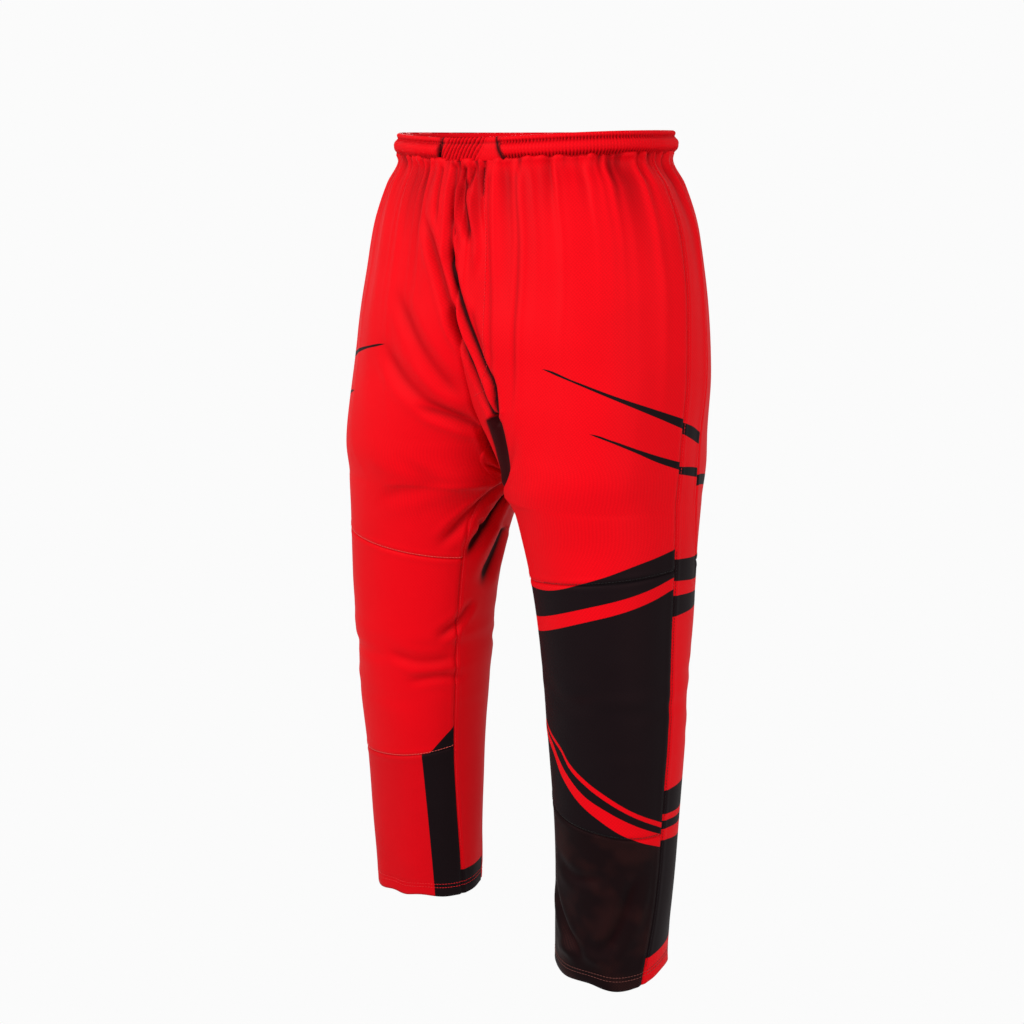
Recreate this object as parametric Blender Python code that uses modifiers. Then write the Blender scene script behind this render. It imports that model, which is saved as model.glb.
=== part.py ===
# Hockey pants, cut and sewn from thin cloth panels around an elastic waistband.
# Metres, +Z up. The origin is the centre of the waist opening, level with the top
# of the waistband. The front faces -Y and the wearer's left leg is on +X.

import math

import bmesh
import bpy
import numpy as np
from mathutils import Vector

# Overall sizes
WAIST_TO_HEM = 1.020
RISE = 0.425                    # waist top down to the crotch
WAIST_HALF_WIDTH = 0.180
WAIST_HALF_DEPTH = 0.130
HIP_HALF_WIDTH = 0.243
BELLY_FULLNESS = 0.035          # how far the front swells past the waist
SEAT_FULLNESS = 0.022           # how far the seat swells past the waist

# Cloth
CLOTH_THICKNESS = 0.0011
SEAM_GAP = 0.0007               # between the edges of two panels that are sewn together
LAYER_GAP = 0.00035             # between two layers of cloth that lie on each other

# Waistband: a gathered casing with a flat elastic in it
ELASTIC_WIDTH = 0.0210
ELASTIC_THICKNESS = 0.0024
CASING_WALL = 0.0022            # the casing cloth, thickened by its gathers
CASING_CLEARANCE = 0.0007
CASING_ROUNDING = 0.0028        # radius of the casing's corners
BAND_OUTWARD = 0.0012           # how far the casing stands out past the cloth below it
FLAT_FRONT_RIGHT = 0.030        # the flat part of the casing, right of the centre front
FLAT_FRONT_LEFT = 0.050         # and left of it

# Seams
SIDE_SEAM_TURN = 0.95           # 0 is the front centre, 1 the outermost line of the leg
SIDE_PANEL_HIP_WIDTH = 0.045
SIDE_PANEL_LEG_WIDTH = 0.070
GUSSET_RISE = 0.055             # how far the inner panels climb past the crotch
GUSSET_SPREAD = 0.020           # height over which they open out from their points
GUSSET_EASE = 0.0012            # how far their points stop short of the front and back seams
CROTCH_RELIEF = 0.025           # height below the crotch where the leg is a full tube
KNEE_TOP_BELOW_CROTCH = 0.103   # crotch down to the knee's upper seam, at the inseam
KNEE_TOP_LIFT = 0.028           # how much higher that seam is at the outside
KNEE_LENGTH = 0.262             # between the knee's two seams, at the inseam
KNEE_BOTTOM_DROP = 0.035        # how much lower the knee's lower seam is at the outside

# Fly: a facing behind the left front and a guard behind the right front
FLY_LENGTH = 0.270
FLY_WIDTH = 0.032
FLY_THICKNESS = 0.0010
FLY_GAP = 0.0009                # behind the front panel, which is faceted

# Stance of each leg, at these shares of the inseam below the crotch
LEG_STATIONS = (-0.11, 0.09, 0.29, 0.50, 0.70, 1.00)
LEGS = {
    "left": {
        "out": (0.125, 0.137, 0.151, 0.162, 0.171, 0.178),
        "back": (-0.018, -0.024, -0.033, -0.044, -0.056, -0.068),
        "half_width": (0.114, 0.103, 0.091, 0.083, 0.074, 0.067),
        "front_depth": (0.140, 0.112, 0.096, 0.086, 0.076, 0.070),
        "back_depth": (0.140, 0.100, 0.090, 0.080, 0.074, 0.070),
    },
    "right": {
        "out": (0.127, 0.143, 0.157, 0.163, 0.166, 0.166),
        "back": (-0.018, -0.021, -0.023, -0.022, -0.020, -0.018),
        "half_width": (0.117, 0.108, 0.098, 0.090, 0.081, 0.075),
        "front_depth": (0.140, 0.112, 0.098, 0.086, 0.072, 0.064),
        "back_depth": (0.140, 0.098, 0.078, 0.076, 0.070, 0.064),
    },
}
INNER_FRONT_WIDTHS = (0.060, 0.050, 0.036, 0.016)   # inseam to the front seam, at
INNER_BACK_WIDTHS = (0.065, 0.060, 0.050, 0.035)    # these shares of the inseam:
INNER_WIDTH_STATIONS = (0.0, 0.16, 0.57, 1.0)

# Fineness of the meshes
FRONT_COLUMNS = 12
UPPER_ROWS = 9
GUSSET_ROWS = 5
THIGH_ROWS = 2
KNEE_ROWS = 5
SHIN_ROWS = 4
ARC_SAMPLES = 48
BAND_STATIONS = 48              # points round the waist oval

# Worked out from the sizes above
INSEAM = WAIST_TO_HEM - RISE
CASING_HEIGHT = ELASTIC_WIDTH + 2 * (CASING_WALL + CASING_CLEARANCE)
CASING_DEPTH = ELASTIC_THICKNESS + 2 * (CASING_WALL + CASING_CLEARANCE)
PANEL_TOP = -(CASING_HEIGHT + LAYER_GAP)
GUSSET_TOP = -RISE + GUSSET_RISE
KNEE_TOP_DEPTH = RISE + KNEE_TOP_BELOW_CROTCH
KNEE_BOTTOM_DEPTH = KNEE_TOP_DEPTH + KNEE_LENGTH
LEG_TOP = -RISE - CROTCH_RELIEF

RED = (0.83, 0.012, 0.026)
BLACK = (0.008, 0.007, 0.009)
ELASTIC_WHITE = (0.75, 0.74, 0.72)


def smooth_curve(stations):
    """A curve through (height, value) pairs that never swings past them."""
    ordered = sorted(stations)
    heights = np.array([height for height, value in ordered])
    values = np.array([value for height, value in ordered])
    steps = np.diff(heights)
    slopes = np.diff(values) / steps
    tangents = np.zeros(len(values))
    tangents[0] = slopes[0]
    tangents[-1] = slopes[-1]
    for index in range(1, len(values) - 1):
        before = slopes[index - 1]
        after = slopes[index]
        if before * after > 0:
            weight_before = 2 * steps[index] + steps[index - 1]
            weight_after = steps[index] + 2 * steps[index - 1]
            total = weight_before + weight_after
            tangents[index] = total / (weight_before / before + weight_after / after)

    def value_at(height):
        index = int(np.clip(np.searchsorted(heights, height) - 1, 0, len(steps) - 1))
        step = steps[index]
        share = min(max((height - heights[index]) / step, 0.0), 1.0)
        square = share * share
        cube = square * share
        return ((2 * cube - 3 * square + 1) * values[index]
                + (cube - 2 * square + share) * step * tangents[index]
                + (3 * square - 2 * cube) * values[index + 1]
                + (cube - square) * step * tangents[index + 1])

    return value_at


def leg_height(share):
    """Height at a share of the inseam below the crotch."""
    return -RISE - share * INSEAM


def body_curves(side):
    """The curves that give one half of the garment its outline at every height."""
    leg = LEGS[side]
    heights = [leg_height(share) for share in LEG_STATIONS]

    def leg_values(first, second=None, sign=1):
        if second is None:
            return list(zip(heights, leg[first]))
        return [(height, a + sign * b) for height, a, b in zip(heights, leg[first], leg[second])]

    swell = HIP_HALF_WIDTH - WAIST_HALF_WIDTH
    hip_shares = ((0, 0), (0.07, 0), (0.14, 0.32), (0.28, 0.71), (0.47, 0.94), (0.66, 1))
    hip = [(-RISE * share, WAIST_HALF_WIDTH + swell * part) for share, part in hip_shares]
    front_hip = [(0, -WAIST_HALF_DEPTH), (-0.19 * RISE, -WAIST_HALF_DEPTH - 0.57 * BELLY_FULLNESS),
                 (-0.47 * RISE, -WAIST_HALF_DEPTH - BELLY_FULLNESS)]
    back_hip = [(0, WAIST_HALF_DEPTH), (-0.24 * RISE, WAIST_HALF_DEPTH + 0.91 * SEAT_FULLNESS),
                (-0.47 * RISE, WAIST_HALF_DEPTH + SEAT_FULLNESS)]
    front_edge = front_hip[:2] + [(-0.47 * RISE, -WAIST_HALF_DEPTH - 0.71 * BELLY_FULLNESS)]
    for share, part in ((0.71, 1.0), (0.87, 0.62), (0.965, 0.16), (1, 0)):
        front_edge.append((-RISE * share, -WAIST_HALF_DEPTH * part))
    back_edge = back_hip[:2] + [(-0.47 * RISE, WAIST_HALF_DEPTH + 0.91 * SEAT_FULLNESS)]
    for share, part in ((0.71, 1.0), (0.87, 0.69), (0.965, 0.23), (1, 0)):
        back_edge.append((-RISE * share, WAIST_HALF_DEPTH * part))
    below_crotch = leg_values("back")[1:]
    inner_leg = leg_values("out", "half_width", -1)[1:]
    return {
        "outer_x": smooth_curve(hip + leg_values("out", "half_width")),
        "inner_x": smooth_curve([(0, 0), (-RISE, 0), (-RISE - 0.006, 0.008)] + inner_leg),
        "outer_y": smooth_curve([(0, 0), (-0.24 * RISE, -0.004), (-0.47 * RISE, -0.010)]
                                + leg_values("back")),
        "front_edge": smooth_curve(front_edge + below_crotch),
        "back_edge": smooth_curve(back_edge + below_crotch),
        "front": smooth_curve(front_hip + leg_values("back", "front_depth", -1)),
        "back": smooth_curve(back_hip + leg_values("back", "back_depth")),
        "front_turn": smooth_curve([(0, 0), (-0.35 * RISE, 0), (-0.59 * RISE, 15),
                                    (-0.85 * RISE, 60), (-RISE, 90), (-WAIST_TO_HEM, 90)]),
        "back_turn": smooth_curve([(0, 0), (-0.35 * RISE, 0), (-0.59 * RISE, 10),
                                   (-0.85 * RISE, 50), (-RISE, 90), (-WAIST_TO_HEM, 90)]),
    }


CURVES = {side: body_curves(side) for side in LEGS}


def half_outline(side, height, facing):
    """Evenly spaced points from the centre line round to the outermost line."""
    curves = CURVES[side]
    outer_x = curves["outer_x"](height)
    outer_y = curves["outer_y"](height)
    inner_x = curves["inner_x"](height)
    edge = curves[facing + "_edge"](height)
    reach = curves[facing](height)
    turn = math.radians(curves[facing + "_turn"](height))
    direction = -1 if facing == "front" else 1
    fold = math.sin(turn)
    round_handle = 0.5523
    start_handle = (1 - fold) * round_handle * (outer_x - inner_x) + fold * 4 / 3 * abs(reach - edge)
    end_handle = ((1 - fold) * round_handle + fold * 4 / 3) * abs(reach - outer_y)
    start = np.array((inner_x, edge))
    end = np.array((outer_x, outer_y))
    start_control = start + start_handle * np.array((math.cos(turn), direction * fold))
    end_control = end + np.array((0, direction * end_handle))
    share = np.linspace(0, 1, ARC_SAMPLES * 2)[:, None]
    points = ((1 - share) ** 3 * start + 3 * share * (1 - share) ** 2 * start_control
              + 3 * share ** 2 * (1 - share) * end_control + share ** 3 * end)
    lengths = np.concatenate(([0], np.cumsum(np.linalg.norm(np.diff(points, axis=0), axis=1))))
    return points, lengths


def surface(side, turn, height):
    """The point at a turn round one half: 0 centre front, 1 outermost, 2 centre back."""
    facing = "front" if turn <= 1 else "back"
    points, lengths = half_outline(side, height, facing)
    along = (turn if turn <= 1 else 2 - turn) * lengths[-1]
    x = np.interp(along, lengths, points[:, 0])
    y = np.interp(along, lengths, points[:, 1])
    mirror = 1 if side == "left" else -1
    return Vector((mirror * x, y, height))


def half_girth(side, height):
    return sum(half_outline(side, height, facing)[1][-1] for facing in ("front", "back")) / 2


def inward(side, turn, height, depth):
    """A surface point moved into the garment by a depth."""
    step = 0.002
    level_turn = surface(side, turn + step, height) - surface(side, max(turn - step, 0), height)
    upright = surface(side, turn, height + step) - surface(side, turn, height - step)
    normal = level_turn.cross(upright).normalized()
    if side == "right":
        normal = -normal
    return surface(side, turn, height) - normal * depth


# Seam lines, each as a turn round the half at a height

def side_front_seam(side, height):
    return SIDE_SEAM_TURN


side_width = smooth_curve([(0, SIDE_PANEL_HIP_WIDTH), (-RISE, SIDE_PANEL_HIP_WIDTH),
                           (-KNEE_TOP_DEPTH - 0.06, SIDE_PANEL_LEG_WIDTH),
                           (-WAIST_TO_HEM, SIDE_PANEL_LEG_WIDTH)])


def side_back_seam(side, height):
    return SIDE_SEAM_TURN + side_width(height) / half_girth(side, height)


def inner_width_curve(widths):
    return smooth_curve([(leg_height(share), width)
                         for share, width in zip(INNER_WIDTH_STATIONS, widths)])


inner_front_width = inner_width_curve(INNER_FRONT_WIDTHS)
inner_back_width = inner_width_curve(INNER_BACK_WIDTHS)


def inner_turn(side, height, width_curve):
    """How far the inner panel reaches round from the inseam: nothing at its points."""
    opened = 1 - math.exp(-max(GUSSET_TOP - height, 0) / GUSSET_SPREAD)
    return opened * width_curve(height) / half_girth(side, height)


def inner_front_seam(side, height):
    return inner_turn(side, height, inner_front_width)


def inner_back_seam(side, height):
    return 2 - inner_turn(side, height, inner_back_width)


def half_seam_gap(side, height, seam):
    """Half a seam's gap as a turn: wider where the seam slants, nothing on the centre line."""
    if seam in (side_front_seam, side_back_seam):
        slant = 0.0
    elif height >= GUSSET_TOP:
        return 0.0
    else:
        width_curve = inner_front_width if seam in (front_seam, inner_front_seam) else inner_back_width
        opened = math.exp((height - GUSSET_TOP) / GUSSET_SPREAD)
        slant = width_curve(height) / GUSSET_SPREAD * opened
    return SEAM_GAP / 2 * math.hypot(1, slant) / half_girth(side, height)


def front_seam(side, height):
    """The front panel's inner edge: the centre front, then the inner panel's seam."""
    return inner_front_seam(side, height) if height < GUSSET_TOP else 0.0


def back_seam(side, height):
    return inner_back_seam(side, height) if height < GUSSET_TOP else 2.0


# Rows of cloth: the same heights on both sides of every upright seam

KNEE_TOP_ROW = UPPER_ROWS + GUSSET_ROWS + THIGH_ROWS
KNEE_BOTTOM_ROW = KNEE_TOP_ROW + KNEE_ROWS
HEM_ROW = KNEE_BOTTOM_ROW + SHIN_ROWS


def knee_top(turn):
    return -KNEE_TOP_DEPTH + KNEE_TOP_LIFT * (0.5 - 0.5 * math.cos(math.pi * turn))


def knee_bottom(turn):
    return -KNEE_BOTTOM_DEPTH - KNEE_BOTTOM_DROP * math.sin(math.pi * turn / 2)


def row_height(row, turn):
    """Height of a row at a turn; rows are counted down from the waistband."""
    levels = (PANEL_TOP, GUSSET_TOP, LEG_TOP, knee_top(turn), knee_bottom(turn), -WAIST_TO_HEM)
    counts = (UPPER_ROWS, GUSSET_ROWS, THIGH_ROWS, KNEE_ROWS, SHIN_ROWS)
    for index, count in enumerate(counts):
        if row <= count:
            return levels[index] + (levels[index + 1] - levels[index]) * row / count
        row -= count
    return levels[-1]


def row_point(side, row, across, first_seam, last_seam, drop=0.0):
    """The turn and height where a row crosses a panel."""
    height = row_height(row, 1.0)
    turn = 0.0
    for settle in range(6):
        first = first_seam(side, height) + half_seam_gap(side, height, first_seam)
        last = last_seam(side, height) - half_seam_gap(side, height, last_seam)
        turn = first + (last - first) * across
        height = row_height(row, turn) + drop
    return turn, height


# Building

collection = bpy.data.collections.new("hockey_pants")


def clear_scene():
    for item in list(bpy.data.objects):
        bpy.data.objects.remove(item, do_unlink=True)
    bpy.context.scene.collection.children.link(collection)


def cloth_material(name, colour, roughness):
    material = bpy.data.materials.new(name)
    material.use_nodes = True
    shader = material.node_tree.nodes["Principled BSDF"]
    shader.inputs["Base Color"].default_value = (*colour, 1)
    shader.inputs["Roughness"].default_value = roughness
    shader.inputs["Metallic"].default_value = 0
    return material


def sheet(name, columns, rows, place, thickness, colour, roughness=0.7, centre=None):
    """A grid laid on the surface that place() gives, thickened inwards."""
    bm = bmesh.new()
    bmesh.ops.create_grid(bm, x_segments=columns, y_segments=rows, size=0.5)
    for vertex in bm.verts:
        vertex.co = place(vertex.co.x + 0.5, 0.5 - vertex.co.y)
    bmesh.ops.remove_doubles(bm, verts=bm.verts, dist=0.00001)
    bm.normal_update()
    outward = 0
    for face in bm.faces:
        middle = face.calc_center_median()
        outward += face.normal.dot(middle - centre(middle)) * face.calc_area()
    if outward < 0:
        bmesh.ops.reverse_faces(bm, faces=bm.faces)
    mesh = bpy.data.meshes.new(name)
    bm.to_mesh(mesh)
    bm.free()
    mesh.shade_smooth()
    mesh.materials.append(cloth_material(name, colour, roughness))
    piece = bpy.data.objects.new(name, mesh)
    collection.objects.link(piece)
    thicken = piece.modifiers.new("cloth thickness", "SOLIDIFY")
    thicken.thickness = thickness
    thicken.offset = -1
    return piece


def leg_axis(side):
    """The middle of a leg at the height of a point, for telling inside from outside."""
    curves = CURVES[side]
    mirror = 1 if side == "left" else -1

    def middle(point):
        height = min(point.z, LEG_TOP)
        x = (curves["outer_x"](height) + curves["inner_x"](height)) / 2
        return Vector((mirror * x, curves["outer_y"](height), point.z))

    return middle


def from_centre(side):
    """Moves a half off the centre line, so that the two halves meet at a seam."""
    return Vector((SEAM_GAP / 2 if side == "left" else -SEAM_GAP / 2, 0, 0))


def panel(kind, side, columns, first_row, last_row, first_seam, last_seam, colour):
    """A cloth panel between two upright seams and two rows."""
    rows = last_row - first_row

    def place(across, down):
        row = first_row + round(down * rows)
        drop = 0.0
        if row == first_row and first_row > 0:
            drop = -SEAM_GAP / 2
        if row == last_row and last_row < HEM_ROW:
            drop = SEAM_GAP / 2
        turn, height = row_point(side, row, across, first_seam, last_seam, drop)
        return surface(side, turn, height) + from_centre(side)

    return sheet(f"{kind}_{side}", columns, rows, place, CLOTH_THICKNESS, colour,
                 centre=leg_axis(side))


def inner_panel(side, columns, colour):
    """Crotch gusset and inner leg in one: it starts on the U of the crotch seam."""
    rows = HEM_ROW - UPPER_ROWS
    flare = 1.5

    def place(across, down):
        lean = 2 * across - 1
        spread = abs(lean)
        row = round(down * rows)
        top = -RISE + (GUSSET_RISE - GUSSET_EASE) * spread ** flare
        seam = inner_front_seam if lean < 0 else inner_back_seam
        if row < GUSSET_ROWS:
            height = top + (LEG_TOP - top) * row / GUSSET_ROWS
        else:
            height = row_height(row + UPPER_ROWS, seam(side, -KNEE_TOP_DEPTH))
        for settle in range(6):
            reach = seam(side, height) if lean < 0 else 2 - seam(side, height)
            reach = max(reach - half_seam_gap(side, height, seam), 0)
            begun = (max(height + RISE, 0) / (GUSSET_RISE - GUSSET_EASE)) ** (1 / flare)
            share = (spread - begun) / (1 - begun) if begun < spread else 0.0
            turn = reach * min(max(share, 0), 1)
            if row >= GUSSET_ROWS:
                height = row_height(row + UPPER_ROWS, turn if lean < 0 else 2 - turn)
        if lean >= 0:
            turn = 2 - turn
        return surface(side, turn, height) + from_centre(side)

    return sheet(f"inner_panel_{side}", columns, rows, place, CLOTH_THICKNESS, colour,
                 centre=leg_axis(side))


def waist_path(around, outward):
    """A point on the waist oval; around runs 0 to 2 over the left half, to 4 over the right."""
    side = "left" if around <= 2 else "right"
    turn = around if around <= 2 else 4 - around
    return inward(side, min(max(turn, 0.003), 1.997), PANEL_TOP, -outward)


def band_point(around, outward):
    """A point on the flats that every layer of the waistband shares."""
    station = around * BAND_STATIONS / 4
    first = math.floor(station)
    ends = [waist_path(4 * (first + k) / BAND_STATIONS % 4, outward) for k in (0, 1)]
    return ends[0].lerp(ends[1], station - first)


def around_at(x):
    """Where the waist oval passes a distance left (+) or right (-) of the centre front."""
    share = abs(x) / half_girth("left", PANEL_TOP)
    return share if x > 0 else 4 - share


def casing(name, start, end, colour):
    """A hollow piece of the waistband: an open-ended tube of rounded oblong section."""
    sides = 12
    pitch = 4 / BAND_STATIONS
    inside = range(math.floor(start / pitch) + 1, math.ceil(end / pitch))
    stations = [start] + [index * pitch for index in inside] + [end]
    columns = len(stations) - 1
    middle = -CASING_HEIGHT / 2
    line = BAND_OUTWARD - CASING_DEPTH / 2
    profile = []
    for corner in range(4):
        for step in range(3):
            angle = math.pi / 2 * corner + math.pi / 4 * step
            corner_out = math.copysign(CASING_DEPTH / 2 - CASING_ROUNDING, (1, -1, -1, 1)[corner])
            corner_up = math.copysign(CASING_HEIGHT / 2 - CASING_ROUNDING, (1, 1, -1, -1)[corner])
            profile.append((corner_out + CASING_ROUNDING * math.cos(angle),
                            corner_up + CASING_ROUNDING * math.sin(angle)))

    def place(across, down):
        out, up = profile[round(down * sides) % sides]
        point = band_point(stations[round(across * columns)], line + out)
        point.z = middle + up
        return point

    def centre(point):
        spot = min((waist_path(start + (end - start) * k / 40 % 4, line) for k in range(41)),
                   key=lambda path: (path.xy - point.xy).length)
        return Vector((spot.x, spot.y, middle))

    tube = sheet(name, columns, sides, place, CASING_WALL, colour, centre=centre)
    tube.modifiers["cloth thickness"].use_even_offset = True
    return tube


def elastic():
    """The flat elastic: one endless band that runs through the whole casing."""
    outer_face = BAND_OUTWARD - CASING_WALL - CASING_CLEARANCE

    def place(across, down):
        point = band_point(4 * round(across * BAND_STATIONS) / BAND_STATIONS % 4, outer_face)
        point.z = -CASING_WALL - CASING_CLEARANCE - ELASTIC_WIDTH * down
        return point

    return sheet("waist_elastic", BAND_STATIONS, 1, place, ELASTIC_THICKNESS, ELASTIC_WHITE, 0.8,
                 centre=lambda point: Vector((0, 0, point.z)))


def behind_front(side, turn, height, depth):
    """A point behind the front panel that keeps to the panel's flat facets."""
    pitch = (GUSSET_TOP - PANEL_TOP) / UPPER_ROWS
    width = SIDE_SEAM_TURN / FRONT_COLUMNS
    row = math.floor((height - PANEL_TOP) / pitch + 0.0001)
    column = math.floor(turn / width + 0.0001)
    down = (height - PANEL_TOP) / pitch - row
    across = turn / width - column
    left, right = column * width, (column + 1) * width
    upper, lower = PANEL_TOP + row * pitch, PANEL_TOP + (row + 1) * pitch
    above = inward(side, left, upper, depth).lerp(inward(side, right, upper, depth), across)
    below = inward(side, left, lower, depth).lerp(inward(side, right, lower, depth), across)
    return above.lerp(below, down)


def fly_strip(name, side):
    """A strip of cloth that backs the front panel beside the centre front."""
    depth = CLOTH_THICKNESS + FLY_GAP
    pitch = (PANEL_TOP - GUSSET_TOP) / UPPER_ROWS
    rows = math.ceil(FLY_LENGTH / pitch)
    panel_column = SIDE_SEAM_TURN / FRONT_COLUMNS

    def place(across, down):
        height = PANEL_TOP - max(min(round(down * rows) * pitch, FLY_LENGTH), SEAM_GAP)
        outer_turn = max(FLY_WIDTH / half_girth(side, height), panel_column + 0.002)
        turn = (0.004, panel_column, outer_turn)[round(across * 2)]
        return behind_front(side, turn, height, depth) + from_centre(side)

    return sheet(name, 2, rows, place, FLY_THICKNESS, RED, centre=leg_axis(side))


def build():
    clear_scene()
    for side in ("left", "right"):
        knee_colour = BLACK if side == "left" else RED
        panel("front_panel", side, FRONT_COLUMNS, 0, KNEE_TOP_ROW, front_seam, side_front_seam, RED)
        panel("knee_panel", side, FRONT_COLUMNS, KNEE_TOP_ROW, KNEE_BOTTOM_ROW,
              inner_front_seam, side_front_seam, knee_colour)
        panel("shin_panel", side, FRONT_COLUMNS, KNEE_BOTTOM_ROW, HEM_ROW,
              inner_front_seam, side_front_seam, knee_colour)
        panel("side_panel", side, 4, 0, HEM_ROW, side_front_seam, side_back_seam, RED)
        panel("back_panel", side, 10, 0, KNEE_TOP_ROW, side_back_seam, back_seam, RED)
        panel("calf_panel", side, 10, KNEE_TOP_ROW, HEM_ROW,
              side_back_seam, inner_back_seam, knee_colour)
        inner_panel(side, 8, RED)
    right_joint = around_at(-FLAT_FRONT_RIGHT)
    left_joint = around_at(FLAT_FRONT_LEFT)
    half_gap = SEAM_GAP / 2 / half_girth("left", PANEL_TOP)
    casing("waistband_left", left_joint + half_gap, 2 - half_gap, RED)
    casing("waistband_right", 2 + half_gap, right_joint - half_gap, RED)
    casing("waistband_front", right_joint + half_gap, 4 + left_joint - half_gap, RED)
    elastic()
    fly_strip("fly_facing_left", "left")
    fly_strip("fly_guard_right", "right")


build()
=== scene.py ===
import math
import bpy
import numpy as np
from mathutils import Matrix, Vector


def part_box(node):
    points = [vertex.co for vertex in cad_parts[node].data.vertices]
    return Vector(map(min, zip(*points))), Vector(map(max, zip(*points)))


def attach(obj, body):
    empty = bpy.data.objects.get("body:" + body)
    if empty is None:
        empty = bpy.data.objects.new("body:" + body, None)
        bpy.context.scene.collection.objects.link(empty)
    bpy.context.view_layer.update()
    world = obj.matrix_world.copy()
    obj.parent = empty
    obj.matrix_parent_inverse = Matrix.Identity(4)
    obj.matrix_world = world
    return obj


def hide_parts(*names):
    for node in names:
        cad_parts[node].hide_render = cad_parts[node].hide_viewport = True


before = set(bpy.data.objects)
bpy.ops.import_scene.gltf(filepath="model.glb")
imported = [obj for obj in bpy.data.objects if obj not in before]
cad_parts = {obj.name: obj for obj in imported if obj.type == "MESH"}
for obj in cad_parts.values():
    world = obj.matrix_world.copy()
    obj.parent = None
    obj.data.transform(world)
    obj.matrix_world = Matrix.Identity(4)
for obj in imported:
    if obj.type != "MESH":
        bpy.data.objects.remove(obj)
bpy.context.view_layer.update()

# the cut of the pants: heights run down from the waist, widths round the cloth, all in metres
cut = {
    "length": -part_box("side_panel_left")[0].z,
    "band": -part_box("side_panel_left")[1].z,
    "rise": 0.425,
    "gussetRise": 0.055,
    "sideSeam": 0.95,            # 0 is the middle of the front, 1 the outermost line of the leg
    "kneeTop": 0.528,
    "kneeTopLift": 0.028,
    "kneeBottom": 0.790,
    "kneeBottomDrop": 0.035,
    "thickness": 0.0009,
    "fineness": 0.0028,          # spacing of the cloth's points
    "frontFineness": 0.0018,     # closer where the deep folds are
    "gussetEase": 0.020,         # the inner seams open over this height below the gusset
    "bandOverlap": 0.004,        # the panels run up behind the band
}
gussetTop = cut["gussetRise"] - cut["rise"]
mirrorOf = {"left": 1, "right": -1}

# the stance, the same as the frame's: (mm below the waist, mm), and the folds' turns in degrees
bodyShape = {
    "halfWidth": [(0, 180), (30, 180), (60, 200), (119, 225), (200, 239), (280, 243)],
    "front": [(0, -130), (81, -150), (200, -165)],
    "back": [(0, 130), (102, 150), (200, 152)],
    "frontSeam": [(0, -130), (81, -150), (200, -155), (302, -130), (370, -81), (410, -21), (425, 0)],
    "backSeam": [(0, 130), (102, 150), (200, 150), (302, 130), (370, 90), (410, 30), (425, 0)],
    "middle": [(0, 0), (102, -4), (200, -10)],
    "frontFold": [(0, 0), (149, 0), (251, 15), (361, 60), (425, 90), (1030, 90)],
    "backFold": [(0, 0), (149, 0), (251, 10), (361, 50), (425, 90), (1030, 90)],
}
legHeights = [360, 479, 598, 722.5, 841.5, 1020]
legShape = {
    "left": {
        "out": [125, 137, 151, 162, 171, 178],
        "back": [-18, -24, -33, -44, -56, -68],
        "halfWidth": [114, 103, 91, 83, 74, 67],
        "frontDepth": [140, 112, 96, 86, 76, 70],
        "backDepth": [140, 100, 90, 80, 74, 70],
    },
    "right": {
        "out": [127, 143, 157, 163, 166, 166],
        "back": [-18, -21, -23, -22, -20, -18],
        "halfWidth": [117, 108, 98, 90, 81, 75],
        "frontDepth": [140, 112, 98, 86, 72, 64],
        "backDepth": [140, 98, 78, 76, 70, 64],
    },
}


def smoothCurve(stations):
    # a curve through the stations that never swings past them
    ordered = sorted(stations)
    at = np.array([s[0] for s in ordered], float)
    value = np.array([s[1] for s in ordered], float)
    step = np.diff(at)
    slope = np.diff(value) / step
    tangent = np.zeros(len(value))
    tangent[0] = slope[0]
    tangent[-1] = slope[-1]
    for i in range(1, len(value) - 1):
        if slope[i - 1] * slope[i] > 0:
            before = 2 * step[i] + step[i - 1]
            after = step[i] + 2 * step[i - 1]
            tangent[i] = (before + after) / (before / slope[i - 1] + after / slope[i])

    def valueAt(x):
        i = np.clip(np.searchsorted(at, x) - 1, 0, len(step) - 1)
        t = np.clip((x - at[i]) / step[i], 0, 1)
        return ((2 * t**3 - 3 * t**2 + 1) * value[i] + (t**3 - 2 * t**2 + t) * step[i] * tangent[i]
                + (3 * t**2 - 2 * t**3) * value[i + 1] + (t**3 - t**2) * step[i] * tangent[i + 1])

    return valueAt


def runningLength(points):
    return np.concatenate(([0], np.cumsum(np.linalg.norm(np.diff(points, axis=0), axis=1))))


def downCurve(stations, unit=1000):
    return smoothCurve([(-below / 1000, value / unit) for below, value in stations])


def legCurves(side):
    leg = {name: np.array(values) for name, values in legShape[side].items()}

    def down(values, first=0):
        return list(zip(legHeights[first:], values[first:]))

    reach = {"front": leg["back"] - leg["frontDepth"], "back": leg["back"] + leg["backDepth"]}
    curves = {
        "outerX": downCurve(bodyShape["halfWidth"] + down(leg["out"] + leg["halfWidth"])),
        "innerX": downCurve([(0, 0), (425, 0), (431, 8)] + down(leg["out"] - leg["halfWidth"], 1)),
        "outerY": downCurve(bodyShape["middle"] + down(leg["back"])),
    }
    for facing in ("front", "back"):
        curves[facing] = downCurve(bodyShape[facing] + down(reach[facing]))
        curves[facing + "Seam"] = downCurve(bodyShape[facing + "Seam"] + down(leg["back"], 1))
        curves[facing + "Fold"] = downCurve(bodyShape[facing + "Fold"], 1)
    return curves


tableSize = {
    "rows": 512, "columns": 96, "samples": 160,
    "above": 0.002, "below": 0.004,              # the table runs past the waist and the hem
    "legStart": 0.008, "seamBlend": 0.012,
}
tableHeights = np.linspace(tableSize["above"], -tableSize["below"] - cut["length"], tableSize["rows"])
quarterHandle, halfHandle = 0.5523, 4 / 3        # handle lengths that draw a quarter and a half oval


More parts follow.
